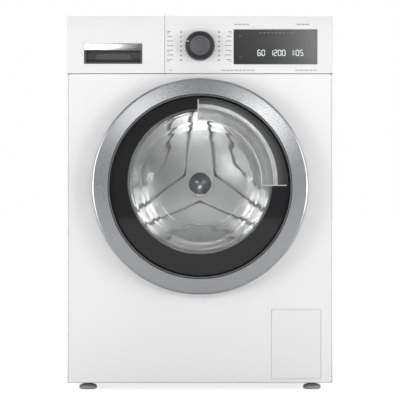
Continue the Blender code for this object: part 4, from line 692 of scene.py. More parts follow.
makeStudio(dict(
    boxes=[(48, 19, 0.42, 0.42, 4.2), (128, 19, 0.50, 0.50, 5.4), (238, 19, 0.40, 0.40, 2.8),
           (306, 19, 0.46, 0.46, 4.6)],
    fills={
        "sideLeft": ((-2.8, frontY - 1.9, 1.0), (0, frontY, 0.40), 1.6, 1.8, 30),
        "sideRight": ((2.8, frontY - 1.9, 1.0), (0, frontY, 0.40), 1.6, 1.8, 30),
        "lowLeft": ((-2.2, frontY - 1.8, 0.25), (0, frontY, 0.20), 1.2, 0.4, 10.5),
        "lowRight": ((2.2, frontY - 1.8, 0.25), (0, frontY, 0.20), 1.2, 0.4, 10.5),
        "stripCard": ((-0.40, frontY - 3.3, 1.125), (-0.2, frontY, 0.77), 0.07, 0.09, 0.018),
        "windowCard": ((0.34, frontY - 3.3, 1.27), (0.17, frontY, 0.77), 0.6, 0.14, 0.6),
        "bowlCard": ((0.52, frontY - 2.2, 1.00), (0.05, frontY, 0.5), 0.22, 0.22, 1.4),
        "drumTop": ((0.0, frontY + 0.125, drumZ + 0.215), (0.0, frontY + 0.42, drumZ + 0.02), 0.16, 0.03,
                    0.55),
        "drumLeft": ((-0.186, frontY + 0.125, drumZ - 0.105), (0.0, frontY + 0.42, drumZ), 0.03, 0.14, 0.20),
        "drumRight": ((0.186, frontY + 0.125, drumZ - 0.105), (0.0, frontY + 0.42, drumZ), 0.03, 0.14, 0.20),
        "drumSpark": ((0.092, frontY + 0.16, drumZ + 0.050), (0.094, frontY + 0.42, drumZ + 0.050), 0.045,
                      0.045, 0.035),
        "drumLow": ((0.0, frontY + 0.16, drumZ - 0.070), (0.0, frontY + 0.42, drumZ - 0.070), 0.13, 0.022,
                    0.022),
        "drumHigh": ((0.0, frontY + 0.16, drumZ + 0.045), (0.0, frontY + 0.42, drumZ + 0.045), 0.05, 0.015,
                     0.004),
    },
    ceiling=2.6, ceilingSoft=50, ceilingLean=-22,
    world=[(0.0, 0.78), (1.0, 0.04), (0.60, 0.46), (0.90, 0.25), (0.965, 0.20), (0.985, 0.05)],
    worldStrength=0.62))

# poured pale floor, matt; what it throws back at the machine is held low, as on a dark studio stand
def makeFloor():
    material, tree, shader, coords = newFinish("paleFloor")
    path = addNode(tree, "ShaderNodeLightPath").outputs["Is Camera Ray"]
    cloud = addNode(tree, "ShaderNodeTexNoise", {"Vector": coords, "Scale": 1.2}).outputs["Fac"]
    tone = addNode(tree, "ShaderNodeMix", {0: cloud, 6: toLinear("#FBFBFB"), 7: toLinear("#F8F8F8")},
                   data_type="RGBA").outputs[2]
    seen = addNode(tree, "ShaderNodeMix", {0: path, 6: toLinear("#B4B4B4"), 7: tone},
                   data_type="RGBA").outputs[2]
    tree.links.new(seen, shader.inputs["Base Color"])
    shader.inputs["Roughness"].default_value = 0.9
    shader.inputs["Emission Color"].default_value = (1, 1, 1, 1)
    glow = addNode(tree, "ShaderNodeMath", {0: path, 1: 0.80}, operation="MULTIPLY").outputs[0]
    tree.links.new(glow, shader.inputs["Emission Strength"])
    return material


made["paleFloor"] = makeFloor()
floor = newObject("floor", [(-30, -30, 0), (30, -30, 0), (30, 30, 0), (-30, 30, 0)], [(0, 1, 2, 3)])
floor.data.materials.append(made["paleFloor"])
print("camera, light and floor ready")


# ---- front panel and cabinet
frontPanel = dict(thick=0.0012, corner=0.004, bevel=0.0004, fold=0.012, mouthR=0.1987, lipR=0.1875)


def makeFrontPanel(look):
    low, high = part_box("front_panel")
    flapLow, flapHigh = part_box("service_flap")
    hookLow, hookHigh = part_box("door_hook")
    gap = 0.001
    hookZ = (hookLow.z + hookHigh.z) / 2
    slotX = 0.2115
    face = slab("panelFace", [
        roundRect(low.x, low.z, high.x, high.z, look["corner"]),
        circle(0, drumZ, look["mouthR"] - 0.0006, 160),
        roundRect(flapLow.x - gap, flapLow.z - gap, flapHigh.x + gap, flapHigh.z + gap, 0.003),
        roundRect(slotX - 0.0075, hookZ - 0.0105, slotX + 0.0075, hookZ + 0.0105, 0.002)],
        "Y", frontY, frontY + look["thick"], look["bevel"])
    r, t = look["lipR"], look["thick"]
    lip = lathe("panelLip", [
        (r + 0.0112, 0.0001), (r + 0.0085, 0.0001), (r + 0.0012, 0.0085), (r, 0.0115), (r, 0.0160),
        (r + t, 0.0160),
        (r + t, 0.0120), (r + 0.0092, t), (r + 0.0112, t)], drumZ, size=0.0012)
    folds = [brick("fold", (x, frontY + t * 0.5, low.z + 0.002),
                   (x + t, frontY + look["fold"], high.z - 0.002), 0.0003)
             for x in (low.x, high.x - t)]
    folds += [brick("fold", (low.x + 0.003, frontY + t * 0.5, z),
                    (high.x - 0.003, frontY + look["fold"], z + t), 0.0003)
              for z in (low.z, high.z - t)]
    finishPiece(merged("frontPanel", [face, lip, *folds]), "cabinet", "enamelSteel",
                "front_panel")


makeFrontPanel(frontPanel)

sidePanel = dict(inset=0.055, corner=0.030, proud=0.0007, bevel=0.00045, swages=3)


def makeSidePanel(side, node, look):
    low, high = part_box(node)
    panel = fromCad("sideShell", node, 0.0004)
    fields = []
    tall = (high.z - low.z - look["inset"] * 2) / look["swages"]
    x = side * halfWide
    for i in range(look["swages"]):
        z0 = low.z + look["inset"] + i * tall + 0.012
        outline = roundRect(low.y + look["inset"], z0, high.y - look["inset"], z0 + tall - 0.024,
                            look["corner"])
        span = sorted((x - side * 0.0004, x + side * look["proud"]))
        fields.append(slab("pressedField", outline, "X", *span, look["bevel"], 3))
    name = "sidePanelLeft" if side < 0 else "sidePanelRight"
    return finishPiece(merged(name, [panel, *fields]), "cabinet", "enamelSteel", node)


makeSidePanel(-1, "left_side_panel", sidePanel)
makeSidePanel(1, "right_side_panel", sidePanel)

rearPanel = dict(thick=0.0012, rib=0.0016, ribWide=0.014, capR=0.026)


def makeRearPanel(look):
    low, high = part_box("rear_panel")
    t = look["thick"]
    holes = [circle(*spot, 24) for spot in ((-0.205, topZ - 0.068, 0.0137), (0.270, topZ - 0.108, 0.0116),
                                            (0.110, topZ - 0.060, 0.0093))]
    plate = slab("rearPlate", [roundRect(low.x, low.z, high.x, high.z, 0.003), *holes], "Y", rearY - t, rearY,
                 0.0003)
    parts = [plate]
    # pressed ribs round the belt cover and across the sheet
    for r in (0.205, 0.232):
        parts.append(lathe("rib", [(r - 0.006, rearY - frontY - 0.0003),
                                   (r - 0.003, rearY - frontY + look["rib"]),
                                   (r + 0.003, rearY - frontY + look["rib"]),
                                   (r + 0.006, rearY - frontY - 0.0003)],
                           drumZ, steps=96, size=0.002))
    for z in (low.z + 0.05, low.z + 0.085, high.z - 0.125):
        for x in ((-0.25, -0.02), (0.02, 0.235)):
            if z > drumZ and x[0] < 0:
                x = (-0.25, -0.09)
            parts.append(brick("rib", (x[0], rearY - 0.0006, z),
                               (x[1], rearY + look["rib"], z + look["ribWide"]), 0.0012, 3))
    finishPiece(merged("rearPanel", parts), "cabinet", "galvanisedSheet", "rear_panel")
    # louvres, in two banks
    louvre = brick("louvre", (-0.024, -0.0004, -0.0022), (0.024, 0.0030, 0.0022), 0.0012, 3)
    bank = repeated("rearLouvres", louvre, "galvanisedSheet", Count=2, Rows=8, Step=(0.36, 0.0, 0.0),
                    Row_Step=(0.0, 0.0, 0.0095), Centre=(-0.18, rearY, low.z + 0.115))
    finishPiece(bank, "cabinet", "galvanisedSheet")
    slit = brick("slit", (-0.021, -0.0002, -0.0012), (0.021, 0.0006, 0.0), 0.0003, 1)
    dark = repeated("rearSlits", slit, "blackRubber", Count=2, Rows=8, Step=(0.36, 0.0, 0.0),
                    Row_Step=(0.0, 0.0, 0.0095), Centre=(-0.18, rearY, low.z + 0.1122))
    finishPiece(dark, "cabinet", "blackRubber")
    # caps over the transit bolt holes
    caps = []
    for x, z in ((-0.155, drumZ + 0.235), (0.190, drumZ + 0.235), (-0.215, drumZ - 0.215),
                 (0.215, drumZ - 0.215)):
        d = rearY - frontY
        caps.append(lathe("cap", [(0, d - 0.004), (look["capR"] * 0.7, d - 0.004), (look["capR"], d),
                                  (look["capR"], d + 0.0015),
                                  (look["capR"] * 0.82, d + 0.0042), (look["capR"] * 0.3, d + 0.0046),
                                  (0, d + 0.0028)], z, x,
                          steps=48, size=0.0008))
    finishPiece(merged("transitCaps", caps), "cabinet", "greyPolypropylene")
    screws = repeated("rearScrewsSide", screwHead(facing=1), "bareSteel", Count=2, Rows=6,
                      Step=(2 * halfWide - 0.022, 0.0, 0.0), Row_Step=(0.0, 0.0, 0.150),
                      Centre=(-halfWide + 0.011, rearY, low.z + 0.018))
    finishPiece(screws, "cabinet", "bareSteel")
    plateBlank = slab("ratingPlate", roundRect(-0.225, 0.655, -0.125, 0.690, 0.003), "Y", rearY - 0.0001,
                      rearY + 0.0004, 0.0002)
    finishPiece(plateBlank, "cabinet", "paleInk")


makeRearPanel(rearPanel)
finishPiece(fromCad("worktop", "worktop", 0.0008, 3), "cabinet", "laminateTop", "worktop")
finishPiece(fromCad("basePan", "base_pan", 0.0006), "cabinet", "greyPolypropylene",
            "base_pan")
finishPiece(fromCad("upperBrace", "upper_brace", 0.0005), "cabinet", "galvanisedSheet",
            "upper_brace")
print("cabinet ready")


# ---- feet
foot = dict(r=0.020, pad=0.012, stemR=0.0048, tall=0.0565, nutR=0.0095)
for foreAft in ("front", "rear"):
    for hand in ("left", "right"):
        node = f"foot_{foreAft}_{hand}"
        low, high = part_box(node)
        cx, cy = (low.x + high.x) / 2, (low.y + high.y) / 2
        pad = lathe("pad", [(0, 0.0), (foot["r"] - 0.002, 0.0), (foot["r"], 0.002), (foot["r"], 0.0075),
                            (foot["r"] * 0.8, 0.0100),
                            (foot["nutR"], foot["pad"]), (0, foot["pad"])], 0, steps=48, size=0.0012,
                            upright=(cx, cy))
        grooves = []
        z = foot["pad"]
        while z < foot["tall"] - 0.0015:  # thread, one groove each 1.5 mm
            grooves += [(foot["stemR"] - 0.0006, z), (foot["stemR"], z + 0.0006)]
            z += 0.0015
        stem = lathe("stem", [(0, foot["pad"] - 0.001), *grooves, (foot["stemR"] - 0.001, foot["tall"]),
                              (0, foot["tall"])], 0,
                     steps=24, upright=(cx, cy))
        name = "foot" + foreAft.capitalize() + hand.capitalize()
        finishPiece(pad, node, "greyPolypropylene", node).name = name
        finishPiece(stem, node, "bareSteel").name = name + "Stem"
print("feet ready")


# ---- fascia, print, dial, window, drawer
finishPiece(fromCad("controlFascia", "control_fascia", 0.0004), "cabinet", "mouldedAbs",
            "control_fascia")
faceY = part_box("control_fascia")[0].y
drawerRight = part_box("drawer_front")[1].x
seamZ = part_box("drawer_front")[0].z


def makeSeamStrip(look):
    # the fascia's cheek beside the drawer, set back from the face
    y = faceY + look["back"]
    profile = [(y, seamZ + 0.001), (y, topZ - 0.0335), (y + 0.003, topZ - 0.010), (y + 0.008, topZ - 0.003),
               (y + 0.012, topZ - 0.002), (y + 0.012, seamZ + 0.001)]
    strip = slab("seamStrip", profile, "X", drawerRight + 0.0007, drawerRight + 0.0031, 0.0002)
    finishPiece(strip, "cabinet", "mouldedAbs")


makeSeamStrip(dict(back=0.0009))
dialLow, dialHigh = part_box("selector_dial")
dialZ = (dialLow.z + dialHigh.z) / 2


def flatMark(x, z, wide, tall, y):
    # a printed dash, a tenth of a millimetre proud
    return brick("mark", (x - wide / 2, y - 0.0001, z - tall / 2), (x + wide / 2, y + 0.0002, z + tall / 2),
                 0)


printing = dict(rows=7, rowPitch=0.0105, labelLeft=-0.0738, labelRight=0.0705, iconX=0.0425, tickR=0.0352)


def makePrinting(look):
    marks, pale = [], []
    for side in (-1, 1):
        for row in range(look["rows"]):
            z = dialZ + (3 - row) * look["rowPitch"]
            words = [(0.0075, 0.004), (0.011,), (0.013,), (0.015,), (0.013, 0.004), (0.0145,),
                     (0.0115, 0.005)][row]
            x = look["labelLeft"] if side < 0 else look["labelRight"]
            for i, word in enumerate(words):
                zz = z + 0.0012 - 0.0034 * i
                middle = x + word / 2 if side < 0 else x - word / 2
                for line in (-0.00055, 0.00055):
                    pale.append(flatMark(middle, zz + line, word, 0.00065, faceY))
            iconX = side * look["iconX"]
            for k in range(3):
                marks.append(flatMark(iconX + (k - 1) * 0.0013, z + 0.0006 * (k % 2), 0.0009, 0.0028, faceY))
            # tick towards the dial
            angle = math.atan2((3 - row) * look["rowPitch"], side * 0.034)
            start = look["tickR"]
            marks.append(flatMark(start * math.cos(angle) + side * 0.0012, dialZ + start * math.sin(angle),
                                  0.0030, 0.0006, faceY))
    left, right, low = halfWide - 0.2235, halfWide - 0.0359, topZ - 0.114
    for x, z, wide in ((left + 0.018, topZ - 0.0245, 0.034), (right - 0.032, topZ - 0.0245, 0.030),
                       (left + 0.010, low - 0.0135, 0.074), (right - 0.025, low - 0.0135, 0.050),
                       (-0.0655, low - 0.0135, 0.006)):
        y = faceY + (0.0040 * (z - (topZ - 0.0325)) / 0.0225 if z > topZ - 0.0325 else 0)
        count = max(1, int(wide / 0.0085))
        for i in range(count):
            middle = x - wide / 2 + (i + 0.5) * wide / count
            for line in (-0.00055, 0.00055):
                pale.append(flatMark(middle, z + line, wide / count - 0.0016, 0.0007,
                                     y - 0.0003 if z > topZ - 0.0325 else y))
    finishPiece(merged("fasciaIcons", marks), "cabinet", "printInk")
    finishPiece(merged("fasciaLabels", pale), "cabinet", "paleInk")


makePrinting(printing)

dial = dict(grips=60, bore=0.0242)


def makeDial(look):
    front = dialLow.y - frontY
    back = faceY - frontY
    r = (dialHigh.x - dialLow.x) / 2
    bore = look["bore"]
    body = lathe("dialBody", [
        (bore, front + 0.0012), (bore + 0.0012, front), (r - 0.0034, front), (r - 0.0014, front + 0.0018),
        (r - 0.0002, back - 0.0003), (0.0280, back - 0.0003), (0.0280, back + 0.0031),
        (0.0300, back + 0.0031),
        (0.0285, back + 0.0055), (bore, back + 0.0055)], dialZ, steps=128, size=0.0007)
    rib = brick("grip", (r - 0.0014, frontY + front + 0.0030, -0.00045),
                (r - 0.0001, frontY + back - 0.0012, 0.00045), 0.0003, 2)
    grips = repeated("dialGrips", rib, "dialLacquer", Count=look["grips"], Turn=2 * math.pi / look["grips"],
                     Centre=(0, 0, dialZ))
    finishPiece(merged("dial", [body, grips]), "dial", "dialLacquer", "selector_dial")
    pointer = brick("dialPointer", (-0.0298, frontY + front - 0.0002, dialZ + 0.0085),
                    (-0.0252, frontY + front + 0.0004, dialZ + 0.0097), 0.0002)
    finishPiece(pointer, "dial", "litSegment")
    cap = lathe("powerButton", [
        (0, front + 0.0016), (0.0120, front + 0.0012), (0.0215, front + 0.0006), (0.0232, front + 0.0009),
        (0.0236, front + 0.0018),
        (0.0236, 0.0015), (0.0216, 0.0015), (0.0216, front + 0.0035), (0.004, front + 0.0035),
        (0.004, 0.0040), (0, 0.0040)],
        dialZ, steps=96, size=0.0005)
    finishPiece(cap, "power_button", "dialCap", "power_button")
    y = frontY + front + 0.0013
    ring = [(0.0040 * math.sin(math.radians(a)), y, dialZ + 0.0040 * math.cos(math.radians(a)))
            for a in range(35, 326, 10)]
    symbol = merged("powerSymbol", [sweep("ring", ring, 0.00042, 8),
                                    sweep("bar", [(0, y, dialZ + 0.0012), (0, y, dialZ + 0.0030),
                                                  (0, y, dialZ + 0.0052)], 0.00042, 8)])
    finishPiece(symbol, "power_button", "paleInk")


makeDial(dial)

window = dict(digitTall=0.0122, digitWide=0.0062, bar=0.0012)


def makeWindow(look):
    low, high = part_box("display_window")
    r = 0.005
    outline = [(low.x, low.z), *arc(high.x - r, low.z + r, r, -math.pi / 2, 0, 8),
               *arc(high.x - r, high.z - r, r, 0, math.pi / 2, 8),
               (low.x, high.z)]
    finishPiece(slab("displayWindow", outline, "Y", low.y, low.y + 0.0019, 0.0004, 3), "cabinet",
                "displayGloss",
                "display_window")
    y = low.y
    sides = {"a": (0, 1, 1), "g": (0, 0, 1), "d": (0, -1, 1), "f": (-1, 0.5, 0), "b": (1, 0.5, 0),
             "e": (-1, -0.5, 0), "c": (1, -0.5, 0)}
    shapes = {"0": "abcdef", "1": "bc", "2": "abged", "5": "afgcd", "6": "afgedc"}
    bars = []
    w, h, b = look["digitWide"], look["digitTall"], look["bar"]
    x = 0.1325
    z = topZ - 0.0885
    for mark in "60 1200 1:05":
        if mark in shapes:
            for side in shapes[mark]:
                sx, sz, flat = sides[side]
                size = (w - b * 0.8, b) if flat else (b, h / 2 - b * 0.8)
                bars.append(flatMark(x + sx * w / 2, z + sz * h / 2, *size, y))
        elif mark == ":":
            x -= 0.0030
            bars += [flatMark(x, z + s * h * 0.2, b, b, y) for s in (-1, 1)]
            x -= 0.0030
        else:
            x -= 0.0005
        x += w + 0.0031
    finishPiece(merged("displayDigits", bars), "cabinet", "litSegment")
    faint = [flatMark(0.136 + i * 0.0088, topZ - 0.0435, 0.0052, 0.0028, y) for i in range(9)]
    faint += [flatMark(0.0905, topZ - 0.0505, 0.006, 0.0007, y),
              flatMark(0.0905, topZ - 0.0975, 0.006, 0.0007, y),
              flatMark(0.250, topZ - 0.0745, 0.0022, 0.0045, y),
              flatMark(0.256, topZ - 0.0745, 0.0010, 0.0045, y)]
    finishPiece(merged("displayIcons", faint), "cabinet", "dimIcon")


made["displayGloss"] = makeFinish("displayGloss", dict(colour="#2A2B2C", roughness=0.20, grainMm=4.0,
                                                       grainDeep=0.01, mottle=0.04))
made["dimIcon"] = makeFinish("dimIcon", dict(colour="#6E7070", roughness=0.4, grainMm=0.5, grainDeep=0.01,
                                             mottle=0.04))
makeWindow(window)
finishPiece(fromCad("controlModule", "control_module", 0.0006), "cabinet", "greyPolypropylene",
            "control_module")

drawer = dict(strip=0.015)


def makeDrawer(look):
    finishPiece(fromCad("drawerFront", "drawer_front", 0.0004), "drawer", "mouldedAbs",
                "drawer_front")
    low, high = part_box("drawer_handle")
    cup = fromCad("drawerHandle", "drawer_handle", 0.0005)
    # the finger recess: a raised shelf with splayed ends above its lower lip
    x0, x1, z0 = low.x + 0.0045, high.x - 0.0045, low.z
    shelf = slab("gripShelf", [(x0, z0 + 0.0035), (x1, z0 + 0.0035), (x1 - 0.017, z0 + 0.0105),
                               (x1 - 0.024, z0 + 0.0245),
                               (x0 + 0.024, z0 + 0.0245), (x0 + 0.017, z0 + 0.0105)], "Y", frontY + 0.0125,
                               frontY + 0.0185, 0.0008, 3)
    finishPiece(merged("drawerHandle", [cup, shelf]), "drawer", "handleAbs", "drawer_handle")
    # bright strip over the recess, slightly crowned along its length
    verts, faces, count, crown = [], [], 24, 0.0004
    top, bottom = high.z - 0.0004, high.z - look["strip"] + 0.0002
    for i in range(count + 1):
        t = i / count
        x = low.x + 0.0006 + t * (high.x - low.x - 0.0012)
        for y, z in ((low.y - 0.0002, bottom), (low.y - crown, bottom + 0.0007),
                     (low.y - crown, top - 0.0007), (low.y - 0.0002, top),
                     (low.y + 0.0012, top), (low.y + 0.0012, bottom)):
            verts.append((x, y, z))
        if i:
            a = (i - 1) * 6
            faces += [(a + k, a + (k + 1) % 6, a + 6 + (k + 1) % 6, a + 6 + k) for k in range(6)]
    faces += [tuple(range(6))[::-1], tuple(range(count * 6, count * 6 + 6))]
    strip = tidyMesh(newObject("handleStrip", verts, faces), 1e-7)
    finishPiece(strip, "drawer", "brightChrome", angle=25)
    finishPiece(fromCad("drawerTray", "drawer_tray", 0.0005), "drawer", "mouldedAbs",
                "drawer_tray")
    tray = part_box("drawer_tray")
    wide = (tray[1].x - tray[0].x - 0.008) / 3
    cx = tray[0].x + 0.002 + 1.5 * wide + 0.002
    siphon = merged("siphonCap", [
        brick("cover", (cx - wide / 2 + 0.001, tray[1].y - 0.078, tray[1].z - 0.010),
              (cx + wide / 2 - 0.001, tray[1].y - 0.044, tray[1].z - 0.0065), 0.0012, 3),
        lathe("tube", [(0.0, tray[0].z + 0.004), (0.010, tray[0].z + 0.004), (0.010, tray[1].z - 0.008),
                       (0, tray[1].z - 0.008)], 0,
              steps=32, size=0.001, upright=(cx, tray[1].y - 0.061))])
    finishPiece(siphon, "drawer", "blueSoftener")
    y0 = tray[0].y + 0.060
    marks = []
    for number in range(3):
        mx = tray[0].x + 0.002 + (number + 0.5) * wide + number * 0.002
        bars = (1, 2, 1)[number]
        for k in range(bars):
            marks.append(brick("numeral", (mx - 0.0012 + (k - (bars - 1) / 2) * 0.006, y0,
                                           tray[0].z + 0.0018), (mx + 0.0012 + (k - (bars - 1) / 2) * 0.006,
                                                                 y0 + 0.014, tray[0].z + 0.0026), 0.0003))
    finishPiece(merged("trayNumerals", marks), "drawer", "paleInk")


makeDrawer(drawer)
finishPiece(fromCad("dispenserHousing", "dispenser_housing", 0.0005), "cabinet", "greyPolypropylene",
            "dispenser_housing")
print("fascia ready")


# ---- door
door = dict(ringWide=0.0355, bevelR=0.1975, paneFront=-0.0315, gripR=0.1485, gripX=-0.003, gripRise=0.0032)


def makeDoor(look):
    inner = doorR - look["ringWide"]
    proud = ringLow.y - frontY
    back = ringHigh.y - frontY
    bright = lathe("doorRing", [
        (doorR - 0.0020, back), (doorR, back - 0.0020), (doorR, -0.0335), (doorR - 0.0013, -0.0360),
        (doorR - 0.0040, -0.0376),
        (inner + 0.0008, proud + 0.0001), (inner - 0.0002, proud + 0.0003), (inner - 0.0004, proud + 0.0032),
        (inner + 0.0006, proud + 0.0045),
        (doorR - 0.0048, -0.0349), (doorR - 0.0025, -0.0325), (doorR - 0.0025, back)], doorZ, steps=256,
        size=0.0010)
    notch = brick("notch", (-doorR - 0.01, frontY - 0.0300, doorZ - 0.0270),
                  (-doorR + 0.020, frontY + 0.01, doorZ + 0.0270), 0)
    finishPiece(cutBy(bright, notch), "door", "satinChrome", "door_ring", 40)
    steps = [("doorGroove", "glossBlack", [(inner + 0.0008, proud + 0.0046), (inner - 0.0005, proud + 0.0036),
                                           (inner - 0.0022, proud + 0.0034),
                                           (inner - 0.0022, proud + 0.0060),
                                           (inner + 0.0008, proud + 0.0070)]),
             ("doorBezel", "bezelGrey", [(inner - 0.0014, proud + 0.0060), (inner - 0.0016, proud + 0.0028),
                                         (inner - 0.0026, proud + 0.0024),
                                         (inner - 0.0042, proud + 0.0038), (inner - 0.0042, proud + 0.0080),
                                         (inner - 0.0014, proud + 0.0080)]),
             ("doorBevel", "glossBlack", [(inner - 0.0034, proud + 0.0044),
                                          (look["bevelR"], look["paneFront"] - 0.0003),
                                          (look["bevelR"], -0.0268),
                                          (look["bevelR"] + 0.0025, -0.0268),
                                          (inner - 0.0030, proud + 0.0075)])]
    for name, finish, profile in steps:
        finishPiece(lathe(name, profile, doorZ, steps=256, size=0.0004), "door", finish)

    # smoked pane with the grip's quarter cut away
    edgeX, edgeZ, gripR = look["gripX"], doorZ + look["gripRise"], look["gripR"]
    paneR = look["bevelR"] - 0.0003
    high, low = math.acos(edgeX / gripR), math.asin((edgeZ - drumZ) / gripR)
    outline = [*arc(0, doorZ, paneR, math.acos(edgeX / paneR),
                    2 * math.pi + math.asin((edgeZ - doorZ) / paneR), 180),
               *arc(0, drumZ, gripR, low, high, 60)]
    y = frontY + look["paneFront"]
    finishPiece(slab("doorPane", outline, "Y", y, y + 0.004, 0.0006, 3), "door", "smokedPmma",
                "door_pane")

    # frosted shoulder inside the cut-out, and the pane's two polished edges, whose pale colour is a painted
    # highlight
    inside, outside = 0.1372, 0.1640
    a0, a1 = math.asin((edgeZ - drumZ) / inside), math.acos(edgeX / inside)
    b0, b1 = math.asin((edgeZ - drumZ) / outside), math.acos(edgeX / outside)
    band = slab("gripShoulder", [*arc(0, drumZ, inside, a1, a0, 60), *arc(0, drumZ, outside, b0, b1, 60)],
                "Y", y - 0.0012, y - 0.0002, 0.0004, 2)
    finishPiece(band, "door", "frostedShoulder")
    rims = [sweep("rim", [(x, y - 0.0012, z) for x, z in arc(0, drumZ, r, s0, s1, 60)], 0.0010, 10)
            for r, s0, s1 in ((inside, a0, a1), (outside, b0, b1))]
    top = doorZ + math.sqrt((paneR - 0.004) ** 2 - edgeX ** 2)
    right = math.sqrt((paneR - 0.004) ** 2 - (edgeZ - doorZ) ** 2)
    rims.append(brick("rim", (edgeX - 0.0022, y - 0.0006, drumZ + inside - 0.002), (edgeX, y + 0.003, top),
                      0.0005))
    rims.append(brick("rim", (inside - 0.002, y - 0.0006, edgeZ - 0.0022), (right, y + 0.003, edgeZ), 0.0005))
    finishPiece(merged("gripRims", rims), "door", "polishedEdge")

    # cup behind the cut-out, darkened towards the ring by painted shade
    finishPiece(fromCad("gripTrough", "door_grip_trough", 0.0005, 3), "door", "frostedGrip",
                "door_grip_trough")
    bowl = lathe("glassBowl", [
        (0.174, -0.0130), (0.174, -0.0091), (0.1662, -0.0091), (0.1650, 0.0020), (0.1570, 0.0420),
        (0.1400, 0.0900), (0.1290, 0.1080),
        (0.1080, 0.1190), (0, 0.125), (0, 0.121), (0.1060, 0.1152), (0.1262, 0.1048), (0.1362, 0.0885),
        (0.1531, 0.0410),
        (0.1610, 0.0015), (0.162, -0.0130)], drumZ, steps=160, size=0.006)
    finishPiece(bowl, "door", "borosilicateGlass", "door_glass_bowl", 60)
    finishPiece(fromCad("doorInnerFrame", "door_inner_frame", 0.0006, 3), "door", "mouldedAbs",
                "door_inner_frame")
    screws = repeated("doorScrews", brickScrew(0.2275, -0.0042), "bareSteel", Count=10, Turn=math.radians(36),
                      Centre=(0, 0, doorZ))
    finishPiece(screws, "door", "bareSteel")
    finishPiece(fromCad("hingeArm", "door_hinge_arm", 0.0004), "door", "castAluminium",
                "door_hinge_arm")
    finishPiece(fromCad("hingeBracket", "door_hinge_bracket", 0.0004), "cabinet", "castAluminium",
                "door_hinge_bracket")
    finishPiece(fromCad("latchHook", "door_hook", 0.0003), "door_hook", "bareSteel", "door_hook")
    finishPiece(fromCad("doorLock", "door_lock", 0.0006), "cabinet", "darkAbs", "door_lock")


def brickScrew(radius, deep):
    # a screw head at a radius from the axis, facing the rear, turned off the hinge and the hook
    head = screwHead(0.0040, 0.0020, 1)
    head.data.transform(Matrix.Rotation(math.radians(18), 4,
                                        "Y") @ Matrix.Translation((radius, frontY + deep, 0)))
    return head


makeDoor(door)
print("door ready")


# ---- gasket, with its folds and lip
gasket = dict(wall=0.0022)


def makeGasket(look):
    line = fillet([(0.1880, 0.0100), (0.1855, 0.0118), (0.1855, 0.0185), (0.1650, 0.0245), (0.1620, 0.0290),
                   (0.1625, 0.0335),
                   (0.1830, 0.0395), (0.1850, 0.0420), (0.1845, 0.0440), (0.1740, 0.0490), (0.1868, 0.0555),
                   (0.1868, 0.0640)],
                  0.003, 4, closed=False)
    outer = []
    for i, point in enumerate(line):
        a, b = Vector(line[max(i - 1, 0)]), Vector(line[min(i + 1, len(line) - 1)])
        along = (b - a).normalized()
        outer.append((point[0] + along.y * look["wall"], point[1] - along.x * look["wall"]))
    piece = lathe("doorGasket", [*line, *outer[::-1]], drumZ, steps=128)
    piece = finishPiece(piece, None, "epdmRubber", "door_gasket", 60)
    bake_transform(piece)


makeGasket(gasket)


# ---- drum
drum = dict(beads=((0.0495, 0.094), (0.0985, 0.086)), sheet=0.0015, mouthR=0.165, holesRound=66, holeRows=14,
            holeR=0.0046)


def emboss(x, z):
    # three pressed chevrons pointing at the hub, in millimetres
    best = -1e9
    for degrees in (-90, 30, 150):
        a = math.radians(degrees)
        u, v = x * math.cos(a) + z * math.sin(a), -x * math.sin(a) + z * math.cos(a)
        best = max(best, u - 0.456 * abs(v))

    def ease(s, a, b):
        t = min(1, max(0, (s - a) / (b - a)))
        return t * t * (3 - 2 * t)

    return 6.0 * ease(best, 40, 50) - 4.5 * ease(best, 97, 106)


